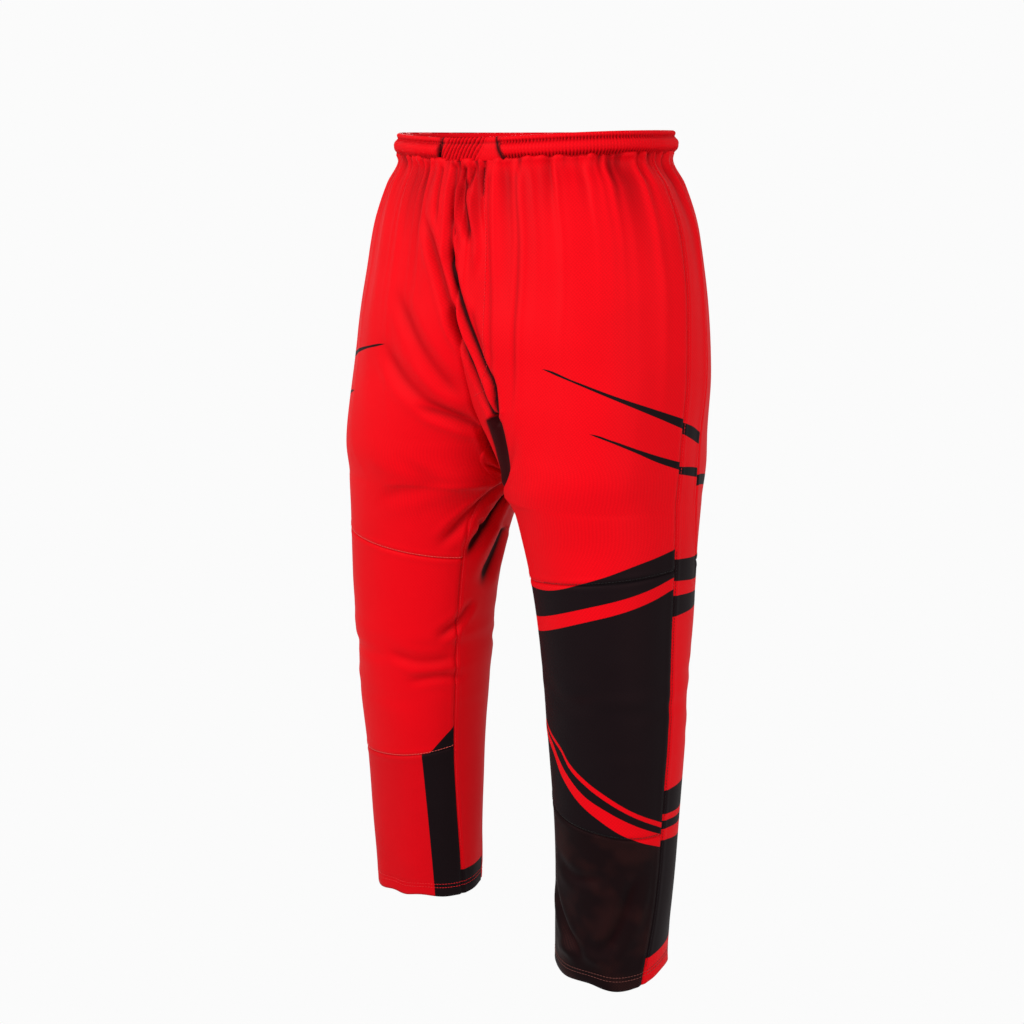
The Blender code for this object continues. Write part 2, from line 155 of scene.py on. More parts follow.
def halfOutline(curves, z, facing):
    # evenly spaced points from the middle seam or the inseam round to the outermost line
    outer = np.array((curves["outerX"](z), curves["outerY"](z)))
    inner = np.array((curves["innerX"](z), curves[facing + "Seam"](z)))
    reach = curves[facing](z)
    turn = math.radians(curves[facing + "Fold"](z))
    outward = -1 if facing == "front" else 1
    fold = math.sin(turn)
    innerPull = (1 - fold) * quarterHandle * (outer[0] - inner[0]) + fold * halfHandle * abs(reach - inner[1])
    outerPull = ((1 - fold) * quarterHandle + fold * halfHandle) * abs(reach - outer[1])
    innerHandle = inner + innerPull * np.array((math.cos(turn), outward * fold))
    outerHandle = outer + np.array((0, outward * outerPull))
    t = np.linspace(0, 1, tableSize["samples"])[:, None]
    p = ((1 - t)**3 * inner + 3 * t * (1 - t)**2 * innerHandle + 3 * t**2 * (1 - t) * outerHandle
         + t**3 * outer)
    along = runningLength(p)
    even = np.linspace(0, along[-1], tableSize["columns"] + 1)
    return np.c_[np.interp(even, along, p[:, 0]), np.interp(even, along, p[:, 1])], along[-1]


def buildTable(side):
    # the smooth worn shape of one half: its points, its outward directions and half its girth
    curves = legCurves(side)
    points = np.zeros((tableSize["rows"], 2 * tableSize["columns"] + 1, 3))
    girth = np.zeros(tableSize["rows"])
    for row, z in enumerate(tableHeights):
        front, frontLength = halfOutline(curves, min(z, 0), "front")
        back, backLength = halfOutline(curves, min(z, 0), "back")
        points[row, :, :2] = np.vstack([front, back[::-1][1:]])
        points[row, :, 2] = z
        girth[row] = (frontLength + backLength) / 2
    points[:, :, 0] *= mirrorOf[side]
    around = np.gradient(points, axis=1)
    legRows = tableHeights < -cut["rise"] - tableSize["legStart"]
    around[legRows, 0] = around[legRows, -1] = points[legRows, 1] - points[legRows, -2]
    normal = -np.cross(around, np.gradient(points, axis=0)) * mirrorOf[side]
    # at the middle seam both halves face the same way
    toSeam = np.minimum(np.arange(points.shape[1]), points.shape[1] - 1 - np.arange(points.shape[1]))
    seamShare = np.exp(-(toSeam[None, :] * girth[:, None] / tableSize["columns"] / tableSize["seamBlend"])**2)
    normal[:, :, 0] *= 1 - seamShare * ~legRows[:, None]
    normal /= np.linalg.norm(normal, axis=2, keepdims=True) + 1e-12
    return {"points": points, "normal": normal, "girth": girth}


wornShape = {side: buildTable(side) for side in mirrorOf}
print("worn shape")


def lookUp(side, turn, z):
    column = np.clip(turn, 0, 2) * tableSize["columns"]
    downShare = np.clip((tableHeights[0] - z) / (tableHeights[0] - tableHeights[-1]), 0, 1)
    row = downShare * (tableSize["rows"] - 1)
    c = np.clip(column.astype(int), 0, 2 * tableSize["columns"] - 1)
    r = np.clip(row.astype(int), 0, tableSize["rows"] - 2)
    right = (column - c)[:, None]
    low = (row - r)[:, None]
    found = []
    for name in ("points", "normal"):
        v = wornShape[side][name]
        found.append((v[r, c] * (1 - right) + v[r, c + 1] * right) * (1 - low)
                     + (v[r + 1, c] * (1 - right) + v[r + 1, c + 1] * right) * low)
    found[1] /= np.linalg.norm(found[1], axis=1, keepdims=True) + 1e-12
    return found


def girthAt(side, z):
    return np.interp(-z, -tableHeights, wornShape[side]["girth"])


# seams between the panels, each as a turn round one half at a height
seamWidths = {
    "innerFront": smoothCurve([(-0.425, 0.060), (-0.520, 0.050), (-0.764, 0.036), (-1.020, 0.016)]),
    "innerBack": smoothCurve([(-0.425, 0.065), (-0.520, 0.060), (-0.764, 0.050), (-1.020, 0.035)]),
    "sideStrip": smoothCurve([(0, 0.045), (-0.425, 0.045), (-0.588, 0.070), (-1.020, 0.070)]),
}
# the left leg's cloth is twisted a little at the hem, so its side seam comes forward there
sideSeamTwist = {
    "left": smoothCurve([(-0.50, 0), (-0.86, 0), (-0.985, -0.062), (-1.020, -0.080)]),
    "right": smoothCurve([(-0.50, 0), (-0.86, 0), (-1.020, -0.010)]),
}


def opened(z):
    return 1 - np.exp(-np.maximum(gussetTop - z, 0) / cut["gussetEase"])


def innerFront(side, z):
    return opened(z) * seamWidths["innerFront"](z) / girthAt(side, z)


def innerBack(side, z):
    return 2 - opened(z) * seamWidths["innerBack"](z) / girthAt(side, z)


def middleOrInnerFront(side, z):
    return np.where(z > gussetTop, 0.0, innerFront(side, z))


def middleOrInnerBack(side, z):
    return np.where(z > gussetTop, 2.0, innerBack(side, z))


def sideFront(side, z):
    return cut["sideSeam"] + sideSeamTwist[side](z)


def sideBack(side, z):
    return cut["sideSeam"] + seamWidths["sideStrip"](z) / girthAt(side, z)


def bandLine(side, turn):
    return np.full_like(turn, -cut["band"] + cut["bandOverlap"])


def kneeTop(side, turn):
    return -cut["kneeTop"] + cut["kneeTopLift"] * (0.5 - 0.5 * np.cos(math.pi * turn))


def kneeBottom(side, turn):
    return -cut["kneeBottom"] - cut["kneeBottomDrop"] * np.sin(math.pi * turn / 2)


def hemLine(side, turn):
    return np.full_like(turn, -cut["length"])


# folds: a line of (mm left of the middle, mm below the waist), depth and width in mm, how dark the
# crease's painted shade is, and the share of the line over which each end fades; a negative depth stands
# proud
frontFolds = [
    # the far half's edge, folded over the fly, then down the near thigh
    ([(-13, 28), (-10, 80), (-12, 118), (-8, 148)], 5, 5, 0.55, (0.04, 0.1)),
    ([(-12, 116), (-8, 146), (0, 170), (9, 191), (18, 212), (30, 238), (45, 266), (56, 284), (59, 303),
     (62, 322)], 6, 5.6, 1.5, (0.1, 0.03)),
    ([(-7, 184), (-6, 204), (-1, 226), (8, 242), (20, 266), (30, 286), (42, 305), (54, 322), (62, 334)], 6,
     5.6, 1.5, (0.12, 0.03)),
    ([(2, 30), (4, 50), (9, 78), (15, 106), (19, 126)], 6, 6, 0.85, (0.04, 0.25)),
    ([(-9, 80), (-6, 100), (-3, 116)], 2, 2.6, 0.75, (0.1, 0.2)),
    ([(11, 52), (19, 85), (29, 124), (28, 165)], -5, 6, 0, (0.2, 0.3)),
    ([(-6, 46), (-3, 80), (2, 112)], -3, 4, 0, (0.2, 0.3)),
    ([(28, 30), (29, 44), (32, 60), (33, 70)], 3, 2.4, 0.95, (0.1, 0.25)),
    ([(16, 30), (13, 44), (5, 60)], 5, 4, 0.55, (0.1, 0.3)),
    ([(23, 190), (33, 222), (50, 256)], 3, 5, 0.35, (0.3, 0.3)),
    ([(-33, 30), (-34, 70), (-33, 110)], 3, 3.4, 0.4, (0.08, 0.4)),
    ([(-60, 80), (-41, 124), (-14, 188), (2, 232), (14, 262)], 7, 7, 0.42, (0.25, 0.25)),
    ([(71, 32), (85, 128), (87, 236), (88, 330)], 1.8, 3.6, 0.32, (0.05, 0.3)),
    ([(38, 34), (46, 120), (52, 184), (55, 244), (57, 290)], 1.6, 3.4, 0.28, (0.05, 0.15)),
    ([(-105, 175), (-69, 226), (-36, 275), (-4, 312)], 5, 11, 0.3, (0.3, 0.2)),
    ([(-130, 235), (-85, 290), (-38, 325), (0, 345)], 5, 12, 0.3, (0.3, 0.15)),
]
legFolds = {
    "right": [
        ([(0, 345), (5, 368), (12, 388), (17, 404), (18, 430), (14, 455)], 6, 6, 0.8, (0.05, 0.1)),
        ([(17, 440), (12, 460), (17, 480), (29, 500), (41, 517), (50, 528)], 9, 10, 1.8, (0.05, 0.3)),
        ([(-30, 498), (-24, 512), (-16, 528), (-6, 545), (4, 560), (12, 578)], 8, 14, 1.6, (0.1, 0.35)),
        ([(78, 318), (39, 332), (19, 341), (2, 350)], 4, 8, 0.45, (0.35, 0.1)),
        ([(90, 512), (74, 492), (62, 468), (52, 440), (31, 412)], 5, 8, 0.42, (0.3, 0.25)),
        ([(40, 470), (30, 488), (20, 500)], 3, 4, 0.45, (0.3, 0.3)),
        ([(40, 395), (32, 408), (22, 416)], 3, 4, 0.45, (0.3, 0.3)),
        ([(110, 390), (150, 425), (200, 440)], 3, 16, 0.1, (0.3, 0.3)),
        ([(20, 585), (40, 612), (75, 640)], 4, 7, 0.35, (0.25, 0.3)),
        ([(30, 660), (80, 668), (140, 655)], 2.5, 8, 0.2, (0.3, 0.3)),
        ([(20, 700), (60, 690), (110, 700)], 2.5, 7, 0.2, (0.3, 0.3)),
    ],
    "left": [
        ([(54, 318), (61, 332), (69, 352), (80, 374), (92, 392), (106, 412)], 6, 8, 1.5, (0.04, 0.2)),
        ([(46, 322), (54, 340), (62, 358), (69, 376), (77, 392), (87, 408), (97, 424)], 2, 22, 2.6,
         (0.08, 0.1)),
        ([(90, 330), (100, 400), (105, 470)], 2, 8, 0.2, (0.3, 0.3)),
        ([(80, 640), (120, 655), (180, 645)], 2, 11, 0.15, (0.3, 0.3)),
        ([(50, 900), (78, 945), (120, 992)], 6, 8, 0.35, (0.25, 0.2)),
        ([(190, 860), (170, 920), (140, 978)], 6, 9, 0.3, (0.3, 0.2)),
        ([(70, 860), (110, 880), (155, 872)], 3, 8, 0.2, (0.3, 0.3)),
        ([(60, 985), (100, 978), (150, 985)], -3, 8, 0, (0.2, 0.2)),
    ],
}
backFolds = [
    ([(150, 170), (90, 250), (20, 320)], 5, 14, 0.22, (0.35, 0.3)),
    ([(-160, 190), (-95, 262), (-20, 315)], 5, 14, 0.22, (0.35, 0.3)),
    ([(45, 60), (50, 150), (40, 230)], 4, 12, 0.18, (0.25, 0.4)),
    ([(-60, 60), (-66, 140), (-58, 220)], 4, 12, 0.18, (0.25, 0.4)),
    ([(4, 300), (60, 370), (125, 430)], 7, 12, 0.35, (0.2, 0.3)),
    ([(-4, 300), (-60, 365), (-125, 415)], 7, 12, 0.35, (0.2, 0.3)),
    ([(10, 350), (60, 420), (90, 480)], 6, 9, 0.4, (0.2, 0.3)),
    ([(-10, 350), (-60, 420), (-95, 475)], 6, 9, 0.4, (0.2, 0.3)),
    ([(30, 655), (100, 672), (170, 660)], 4, 8, 0.3, (0.3, 0.3)),
    ([(-30, 665), (-100, 650), (-170, 668)], 4, 8, 0.3, (0.3, 0.3)),
    ([(40, 700), (110, 716), (180, 700)], 3, 9, 0.25, (0.3, 0.3)),
    ([(-40, 712), (-110, 700), (-180, 715)], 3, 9, 0.25, (0.3, 0.3)),
]
# a fold's section: a hollow with a low ridge on either side, and the width of its painted shade, in widths of
# the fold
foldSection = {"steps": 24, "reach": 4, "ridge": 0.22, "ridgeAt": 1.9, "ridgeWidth": 0.8, "creaseWidth": 0.55}
# gathers below the band, from fine to long: how many go round the waist, how far down they reach and
# where they begin, how much they wander and how high they stand in metres, and how dark the painted shade in
# their hollows is
gathers = [
    {"count": 200, "seed": 3, "reach": 0.012, "begin": 0, "wander": 0, "height": 0.0020, "shade": 0.9,
     "floor": 0.15},
    {"count": 130, "seed": 5, "reach": 0.035, "begin": 0, "wander": 0.0015, "height": 0.0030, "shade": 0.6,
     "floor": 0.15},
    {"count": 84, "seed": 9, "reach": 0.070, "begin": 0.006, "wander": 0.0015, "height": 0.0060,
     "shade": 0.7, "floor": 0.22},
    {"count": 50, "seed": 13, "reach": 0.130, "begin": 0.012, "wander": 0.0015, "height": 0.0065,
     "shade": 0.5, "floor": 0.25},
]
# slack in the cloth: the size of its bumps in metres, a seed, and its height on the left and right legs
slack = {
    "long": ((0.07, 0.07, 0.20), 6, 0.0030, 0.0030),
    "short": ((0.045, 0.045, 0.10), 8, 0.0012, 0.0012),
    "knee": ((0.09, 0.09, 0.016), 21, 0.0014, 0.0026),
    "hem": ((0.032, 0.032, 0.08), 23, 0.0050, 0.0050),
}
slackPlace = {"belowBand": 0.05, "knee": -0.670, "kneeReach": 0.050, "hemReach": 0.045}
noiseTable = 64                                  # the bumps repeat after this many
randomTable = np.random.default_rng(11).random((noiseTable,) * 3) * 2 - 1
farAway = 9.0                                    # metres: further off than any cloth


def noise(points, size, seed):
    # smooth bumps of a real size in metres, from -1 to 1
    q = points / np.asarray(size, float) + 17.3 * (seed + 1)
    cell = np.floor(q).astype(int)
    f = q - cell
    f = f * f * (3 - 2 * f)
    total = 0
    for corner in np.ndindex(2, 2, 2):
        index = (cell + corner) % noiseTable
        weight = np.prod(np.where(np.array(corner) == 1, f, 1 - f), axis=1)
        total = total + weight * randomTable[index[:, 0], index[:, 1], index[:, 2]]
    return total


def ringNoise(share, count, seed):
    # bumps round the waist, the same at both ends of the ring
    bumps = np.random.default_rng(seed).random(count) * 2 - 1
    q = (share % 1) * count
    cell = np.floor(q).astype(int)
    f = q - cell
    f = f * f * (3 - 2 * f)
    return bumps[cell % count] * (1 - f) + bumps[(cell + 1) % count] * f


def foldOffset(fold, across, z):
    # the cloth moves by its distance to a soft curve through the fold's points, and its colour takes painted
    # shade there
    line, depth, width, shade, ends = fold
    line = np.array(line) / (1000, -1000)
    reach = width * 0.001
    offset, paintedShade = np.zeros_like(z), np.zeros_like(z)
    margin = foldSection["reach"] * reach
    (left, low), (right, high) = line.min(0) - margin, line.max(0) + margin
    near = (across > left) & (across < right) & (z > low) & (z < high)
    if not near.any():
        return offset, paintedShade
    chord = runningLength(line)
    steps = foldSection["steps"]
    fine = np.linspace(0, chord[-1], steps + 1)
    path = np.stack([smoothCurve(list(zip(chord, line[:, axis])))(fine) for axis in (0, 1)], axis=1)
    spots = np.c_[across[near], z[near]]
    nearest, along = np.full(len(spots), farAway), np.zeros(len(spots))
    for k in range(steps):
        step = path[k + 1] - path[k]
        share = np.clip((spots - path[k]) @ step / (step @ step), 0, 1)
        gap = np.linalg.norm(spots - path[k] - share[:, None] * step, axis=1)
        along = np.where(gap < nearest, (k + share) / steps, along)
        nearest = np.minimum(gap, nearest)
    fade = np.clip(along / ends[0], 0, 1) * np.clip((1 - along) / ends[1], 0, 1)
    fade = fade * fade * (3 - 2 * fade)
    u = nearest / reach
    ridge = foldSection["ridge"] * np.exp(-((u - foldSection["ridgeAt"]) / foldSection["ridgeWidth"])**2)
    offset[near] = -depth * 0.001 * fade * (np.exp(-u**2) - ridge)
    # painted shade: the colour darkens along the middle of the fold
    paintedShade[near] = np.minimum(shade * fade * np.exp(-(u / foldSection["creaseWidth"])**2), 1)
    return offset, paintedShade


def drape(side, turn, z, base):
    # how far the cloth stands off the smooth worn shape, in metres, and how much painted shade it takes in
    # creases and gathers
    girth = girthAt(side, z)
    mirror = mirrorOf[side]
    fromBand = np.maximum(-z - cut["band"], 0)
    offset, paintedShade = np.zeros_like(z), np.zeros_like(z)
    wander = noise(base, (0.08, 0.08, 0.05), 4)
    for gather in gathers:
        share = 0.5 + mirror * turn / 4 + gather["wander"] * wander
        bumps = ringNoise(share, gather["count"], gather["seed"]) * np.exp(-fromBand / gather["reach"])
        if gather["begin"]:                      # the longer ones only pull in
            bumps = -np.abs(bumps) * (1 - np.exp(-fromBand / gather["begin"]))
        offset += gather["height"] * bumps
        # painted shade in the hollows of the gathers
        paintedShade += gather["shade"] * np.clip(-bumps - gather["floor"], 0, 1)
    calm = 1 - np.exp(-fromBand / slackPlace["belowBand"])
    strength = {
        "long": calm, "short": calm,
        "knee": np.exp(-((z - slackPlace["knee"]) / slackPlace["kneeReach"])**2),
        "hem": np.exp(-(z + cut["length"]) / slackPlace["hemReach"]),
    }
    for name, (size, seed, onLeft, onRight) in slack.items():
        offset += noise(base, size, seed) * (onLeft if side == "left" else onRight) * strength[name]
    frontArc = np.where(turn < 1.0, turn * girth * mirror, farAway)
    legArc = np.where(turn < 1.0, turn, np.where(z < -cut["rise"], turn - 2, farAway)) * girth
    backArc = np.where(turn > 1.0, (2 - turn) * girth * mirror, farAway)
    for folds, across in ((frontFolds, frontArc), (legFolds[side], legArc), (backFolds, backArc)):
        for fold in folds:
            foldMove, foldShade = foldOffset(fold, across, z)
            offset += foldMove
            paintedShade = np.maximum(paintedShade, foldShade)
    return offset, np.clip(paintedShade, 0, 1)


# a seam's groove, the low welt on either side where the allowance lies, and the hem's two stitch lines
seamLook = {
    "depth": 0.0011, "width": 0.0020, "welt": 0.0005, "weltAt": 0.0055, "weltWidth": 0.0028,
    "inseamTop": -0.435, "hemStitches": (0.013, 0.018), "stitchDepth": 0.0006, "stitchWidth": 0.0018,
}


def seamDip(side, turn, z):
    # a seam pulls the cloth in, and the allowance behind it lifts the cloth beside it
    girth = girthAt(side, z)
    frontEdge, backEdge = sideFront(side, z), sideBack(side, z)
    innerEdge, innerEnd = innerFront(side, z), innerBack(side, z)
    toInner = np.minimum(np.abs(turn - innerEdge), np.abs(turn - innerEnd))
    onStrip = (turn > frontEdge) & (turn < backEdge)
    onInner = (turn < innerEdge) | (turn > innerEnd)
    distances = [
        (turn - frontEdge) * girth,
        (turn - backEdge) * girth,
        np.where(z < seamLook["inseamTop"], toInner, farAway) * girth,
        np.where(z > -cut["rise"], np.minimum(turn, 2 - turn), farAway) * girth,
        np.where(onInner | onStrip, farAway, z - kneeTop(side, turn)),
        np.where((turn < frontEdge) & ~onInner, z - kneeBottom(side, turn), farAway),
    ]
    dip = np.zeros_like(z)
    for d in distances:
        dip -= seamLook["depth"] * np.exp(-(d / seamLook["width"])**2)
        dip += seamLook["welt"] * np.exp(-((np.abs(d) - seamLook["weltAt"]) / seamLook["weltWidth"])**2)
    for height in seamLook["hemStitches"]:
        dip -= seamLook["stitchDepth"] * np.exp(-((z + cut["length"] - height) / seamLook["stitchWidth"])**2)
    return dip


# the band sits a little lower at the middle of the front, and the hem's edge rises and falls
edgeWave = {
    "bandHigh": 0.0035, "bandDrop": 0.0085, "bandReach": 0.140, "bandFade": 0.10,
    "hemLift": {"left": 0.007, "right": -0.003}, "hemHeight": {"left": 0.003, "right": 0.0016},
    "hemMiddle": (0.17, -0.05), "hemFade": 0.05,
    "crotchGap": 0.0003, "legGap": 0.001,        # how near the halves come to the middle
}


def waistDip(arc):
    return edgeWave["bandHigh"] - edgeWave["bandDrop"] * np.exp(-(arc / edgeWave["bandReach"])**2)


def drapeCloth(side, turn, z, lift=0.0):
    base, outward = lookUp(side, turn, z)
    offset, paintedShade = drape(side, turn, z, base)
    offset += seamDip(side, turn, z) + lift
    point = base + outward * offset[:, None]
    # the two halves meet at the middle seam and never pass through it
    inside = point[:, 0] * mirrorOf[side]
    atMiddle = (z > -cut["rise"] - 0.004) & (np.minimum(turn, 2 - turn) < 1e-4)
    gap = np.where(z > -0.5, edgeWave["crotchGap"], edgeWave["legGap"])
    inside = np.where(atMiddle, 0.0, np.maximum(inside, gap))
    point[:, 0] = inside * mirrorOf[side]
    fade = np.exp(-np.maximum(-z - cut["band"], 0) / edgeWave["bandFade"])
    point[:, 2] += waistDip(turn * girthAt(side, z)) * fade
    across, ahead = edgeWave["hemMiddle"]
    bearing = np.arctan2(point[:, 1] - ahead, inside - across)
    wave = edgeWave["hemHeight"][side] * (np.sin(2 * bearing + 0.6) + np.sin(5 * bearing + 2.0))
    fade = np.exp(-(z + cut["length"]) / edgeWave["hemFade"])
    point[:, 2] += (edgeWave["hemLift"][side] + wave) * fade
    return point, paintedShade


def clothPoint(side, turn, z, lift=0.0):
    return drapeCloth(side, turn, z, lift)[0]


print("drape")


# the print's edges, (turn, mm below the waist); each panel has a field in mm, above zero where it is black
printEdges = {
    "bandTop": [(0.1, 545), (0.233, 532), (0.4, 526), (0.65, 500), (0.792, 484), (0.967, 472)],
    "stripeTop": [(0.1, 575), (0.267, 568), (0.642, 532), (0.933, 508)],
    "stripeLow": [(0.1, 592), (0.233, 588), (0.633, 549), (0.933, 522)],
    "thinTop": [(0.25, 700), (0.325, 708), (0.4, 718), (0.45, 734), (0.542, 752), (0.642, 768), (0.767, 787),
                (0.958, 811)],
    "thinLow": [(0.25, 704), (0.325, 713), (0.4, 724), (0.45, 741), (0.542, 759), (0.642, 775), (0.767, 793),
                (0.958, 817.5)],
    "thickTop": [(0.25, 709), (0.325, 719), (0.383, 736), (0.425, 748), (0.525, 771), (0.642, 787),
                 (0.767, 803), (0.958, 826)],
    "thickLow": [(0.25, 719), (0.333, 733), (0.392, 754), (0.5, 782), (0.6, 799), (0.717, 816), (0.95, 841)],
    "sideTop": [(0.94, 486), (1.1, 492), (1.4, 498), (1.9, 522)],
    "sideStripeTop": [(0.94, 512), (1.1, 520), (1.4, 530), (1.9, 560)],
    "sideStripeLow": [(0.94, 530), (1.117, 536), (1.4, 548), (1.9, 580)],
    "sideThinTop": [(0.9, 798), (0.958, 800), (1.142, 804), (1.5, 785), (1.75, 745)],
    "sideThinLow": [(0.9, 806), (0.958, 808), (1.142, 812), (1.5, 792), (1.75, 752)],
    "sideThickTop": [(0.9, 818), (0.96, 819), (1.167, 823), (1.5, 803), (1.75, 762)],
    "sideThickLow": [(0.9, 832), (0.95, 833), (1.167, 840), (1.5, 820), (1.75, 778)],
    "cornerTop": [(0.1, 758), (0.142, 768), (0.275, 806), (0.32, 822)],
}


def drawEdge(stations):
    return smoothCurve([(turn, -below / 1000) for turn, below in stations])


printCurves = {name: drawEdge(stations) for name, stations in printEdges.items()}
shinStrip = smoothCurve([(-1.02, 0.256), (-0.80, 0.314)])        # how far round it reaches at a height
printHeights = {"rightHem": -0.984, "leftInner": -0.958, "sideHem": -0.984, "window": (-0.556, -0.770)}
unprinted = -99.0
# each slash is a curved wedge between an upper and a lower edge, which cross just before its tip;
# it is shifted a little where it crosses a seam
slashNames = ("slashAUpper", "slashALower", "slashBUpper", "slashBLower")
slashes = {
    "long": {
        "frontPanel": (
            [(0.35, 264), (0.383, 260), (0.5, 271.2), (0.65, 288), (0.783, 302.5), (0.96, 322)],
            [(0.35, 256), (0.383, 260.2), (0.42, 264.6), (0.5, 273.6), (0.65, 292.4), (0.783, 310),
             (0.96, 333.8)]),
        "sidePanel": ([(0.93, 322.5), (1.02, 333), (1.13, 352)], [(0.93, 335), (1.02, 348), (1.13, 364)]),
    },
    "short": {
        "frontPanel": (
            [(0.545, 334), (0.575, 330.5), (0.66, 338), (0.745, 348), (0.84, 359), (0.96, 372)],
            [(0.545, 327), (0.575, 330.7), (0.66, 340.8), (0.745, 352.3), (0.84, 366.2), (0.96, 381.2)]),
        "sidePanel": ([(0.93, 375), (1.02, 380), (1.13, 389)], [(0.93, 383), (1.02, 391), (1.13, 400)]),
        "backPanel": (
            [(1.1, 393), (1.2, 400), (1.4, 428), (1.5, 444)],
            [(1.1, 406), (1.2, 413), (1.4, 429), (1.5, 436)]),
    },
    "farLong": {
        "frontPanel": (
            [(0.35, 252), (0.375, 249), (0.5, 256), (0.617, 263.5), (0.96, 291)],
            [(0.35, 246), (0.375, 249.2), (0.5, 259.2), (0.617, 269), (0.96, 303)]),
        "sidePanel": ([(0.93, 295), (1.13, 318)], [(0.93, 306), (1.13, 330)]),
    },
    "farShort": {
        "frontPanel": (
            [(0.57, 320), (0.6, 315), (0.78, 328), (0.96, 348)],
            [(0.57, 312), (0.6, 315.2), (0.78, 333), (0.96, 357)]),
        "sidePanel": ([(0.93, 351), (1.13, 364)], [(0.93, 359), (1.13, 375)]),
    },
}


def under(name, turn, z):
    return (printCurves[name](turn) - z) * 1000


def stripe(top, low, turn, z):
    return np.minimum(under(top, turn, z), -under(low, turn, z))


def stripedInk(topEdge, stripes, turn, z):
    ink = under(topEdge, turn, z)
    for name in stripes:
        ink = np.minimum(ink, -stripe(name + "Top", name + "Low", turn, z))
    return ink


def inkField(panel, side, turn, z):
    if side == "right":
        if panel == "shinPanel":
            return (shinStrip(z) - turn) * girthAt(side, z) * 1000
        if panel == "kneePanel":
            return under("cornerTop", turn, z)
        return (printHeights["rightHem"] - z) * 1000 if panel == "innerPanel" else np.full_like(z, unprinted)
    if panel == "innerPanel":
        return (printHeights["leftInner"] - z) * 1000
    if panel in ("frontPanel", "kneePanel", "shinPanel"):
        return stripedInk("bandTop", ("stripe", "thin", "thick"), turn, z)
    ink = stripedInk("sideTop", ("sideStripe", "sideThin", "sideThick"), turn, z)
    if panel == "sidePanel":
        top, low = printHeights["window"]
        window = np.minimum(top - z, z - low) * 1000
        ink = np.minimum(ink, np.minimum(-window, (z - printHeights["sideHem"]) * 1000))
    return ink


def slashFields(panel, side, turn, z):
    names = ("long", "short") if side == "left" else ("farLong", "farShort")
    fields = []
    for name in names:
        edges = slashes[name].get(panel)
        if edges is None:
            fields += [np.full_like(z, unprinted)] * 2
            continue
        upper, lower = (drawEdge(edge)(turn) for edge in edges)
        fields += [(upper - z) * 1000, (z - lower) * 1000]
    return fields


def toLinear(hexColour):
    channels = [int(hexColour[i:i + 2], 16) / 255 for i in (0, 2, 4)]
    return tuple(c / 12.92 if c <= 0.04045 else ((c + 0.055) / 1.055)**2.4 for c in channels) + (1.0,)


def addNode(material, kind, inputs=None, **settings):
    node = material.node_tree.nodes.new("ShaderNode" + kind)
    for name, value in settings.items():
        setattr(node, name, value)
    for name, value in (inputs or {}).items():
        if isinstance(value, bpy.types.NodeSocket):
            material.node_tree.links.new(value, node.inputs[name])
        else:
            node.inputs[name].default_value = value
    return node


def newMaterial(name):
    material = bpy.data.materials.new(name)
    material.use_nodes = True
    return material, material.node_tree.nodes["Principled BSDF"]


def setInputs(shader, values):
    for name, value in values.items():
        shader.inputs[name].default_value = value


def mathNode(material, operation, a, b=0.0):
    return addNode(material, "Math", {0: a, 1: b}, operation=operation).outputs[0]


def blend(material, share, first, second):
    first, second = (toLinear(c) if isinstance(c, str) else c for c in (first, second))
    return addNode(material, "Mix", {0: share, 6: first, 7: second}, data_type="RGBA").outputs[2]


def between(material, value, low, high):
    inputs = {"Value": value, "From Min": low, "From Max": high}
    return addNode(material, "MapRange", inputs).outputs["Result"]


def attributeValue(material, name):
    return addNode(material, "Attribute", attribute_name=name).outputs["Fac"]


def noiseNode(material, place, scale, detail):
    inputs = {"Vector": place, "Scale": scale, "Detail": detail}
    return addNode(material, "TexNoise", inputs).outputs["Fac"]


jersey = {
    "red": "D4000E", "redDeep": "C6000B", "black": "040507", "blackLift": "090A0D",
    "blotches": 14.0, "inkEdge": 0.35, "slashEdge": 0.30,      # edges are soft over this many mm
    "roughness": 0.62, "specular": 0.10, "specularTint": (1.0, 0.45, 0.45, 1.0),
    "sheen": 0.015, "sheenRoughness": 0.40, "sheenTint": (1.0, 0.75, 0.75, 1.0),
    "loopPitch": 3.0,            # mm; the real loops are about 1.2 mm, too fine to show
    "loopDepth": 0.0003, "loopStrength": 0.35, "loopUneven": 0.12, "fuzz": 1.6, "dimpleShade": 0.28,
    # painted shade: how strongly creases are darkened, and the dark red that creases and dimple hollows are
    # darkened towards
    "creaseShade": 0.98, "paintedShadeTone": "160002",
}
openMesh = {"pitch": 2.6, "holeEdge": 0.08, "strength": 0.55, "patches": 0.022, "patchRange": (0.46, 0.62)}


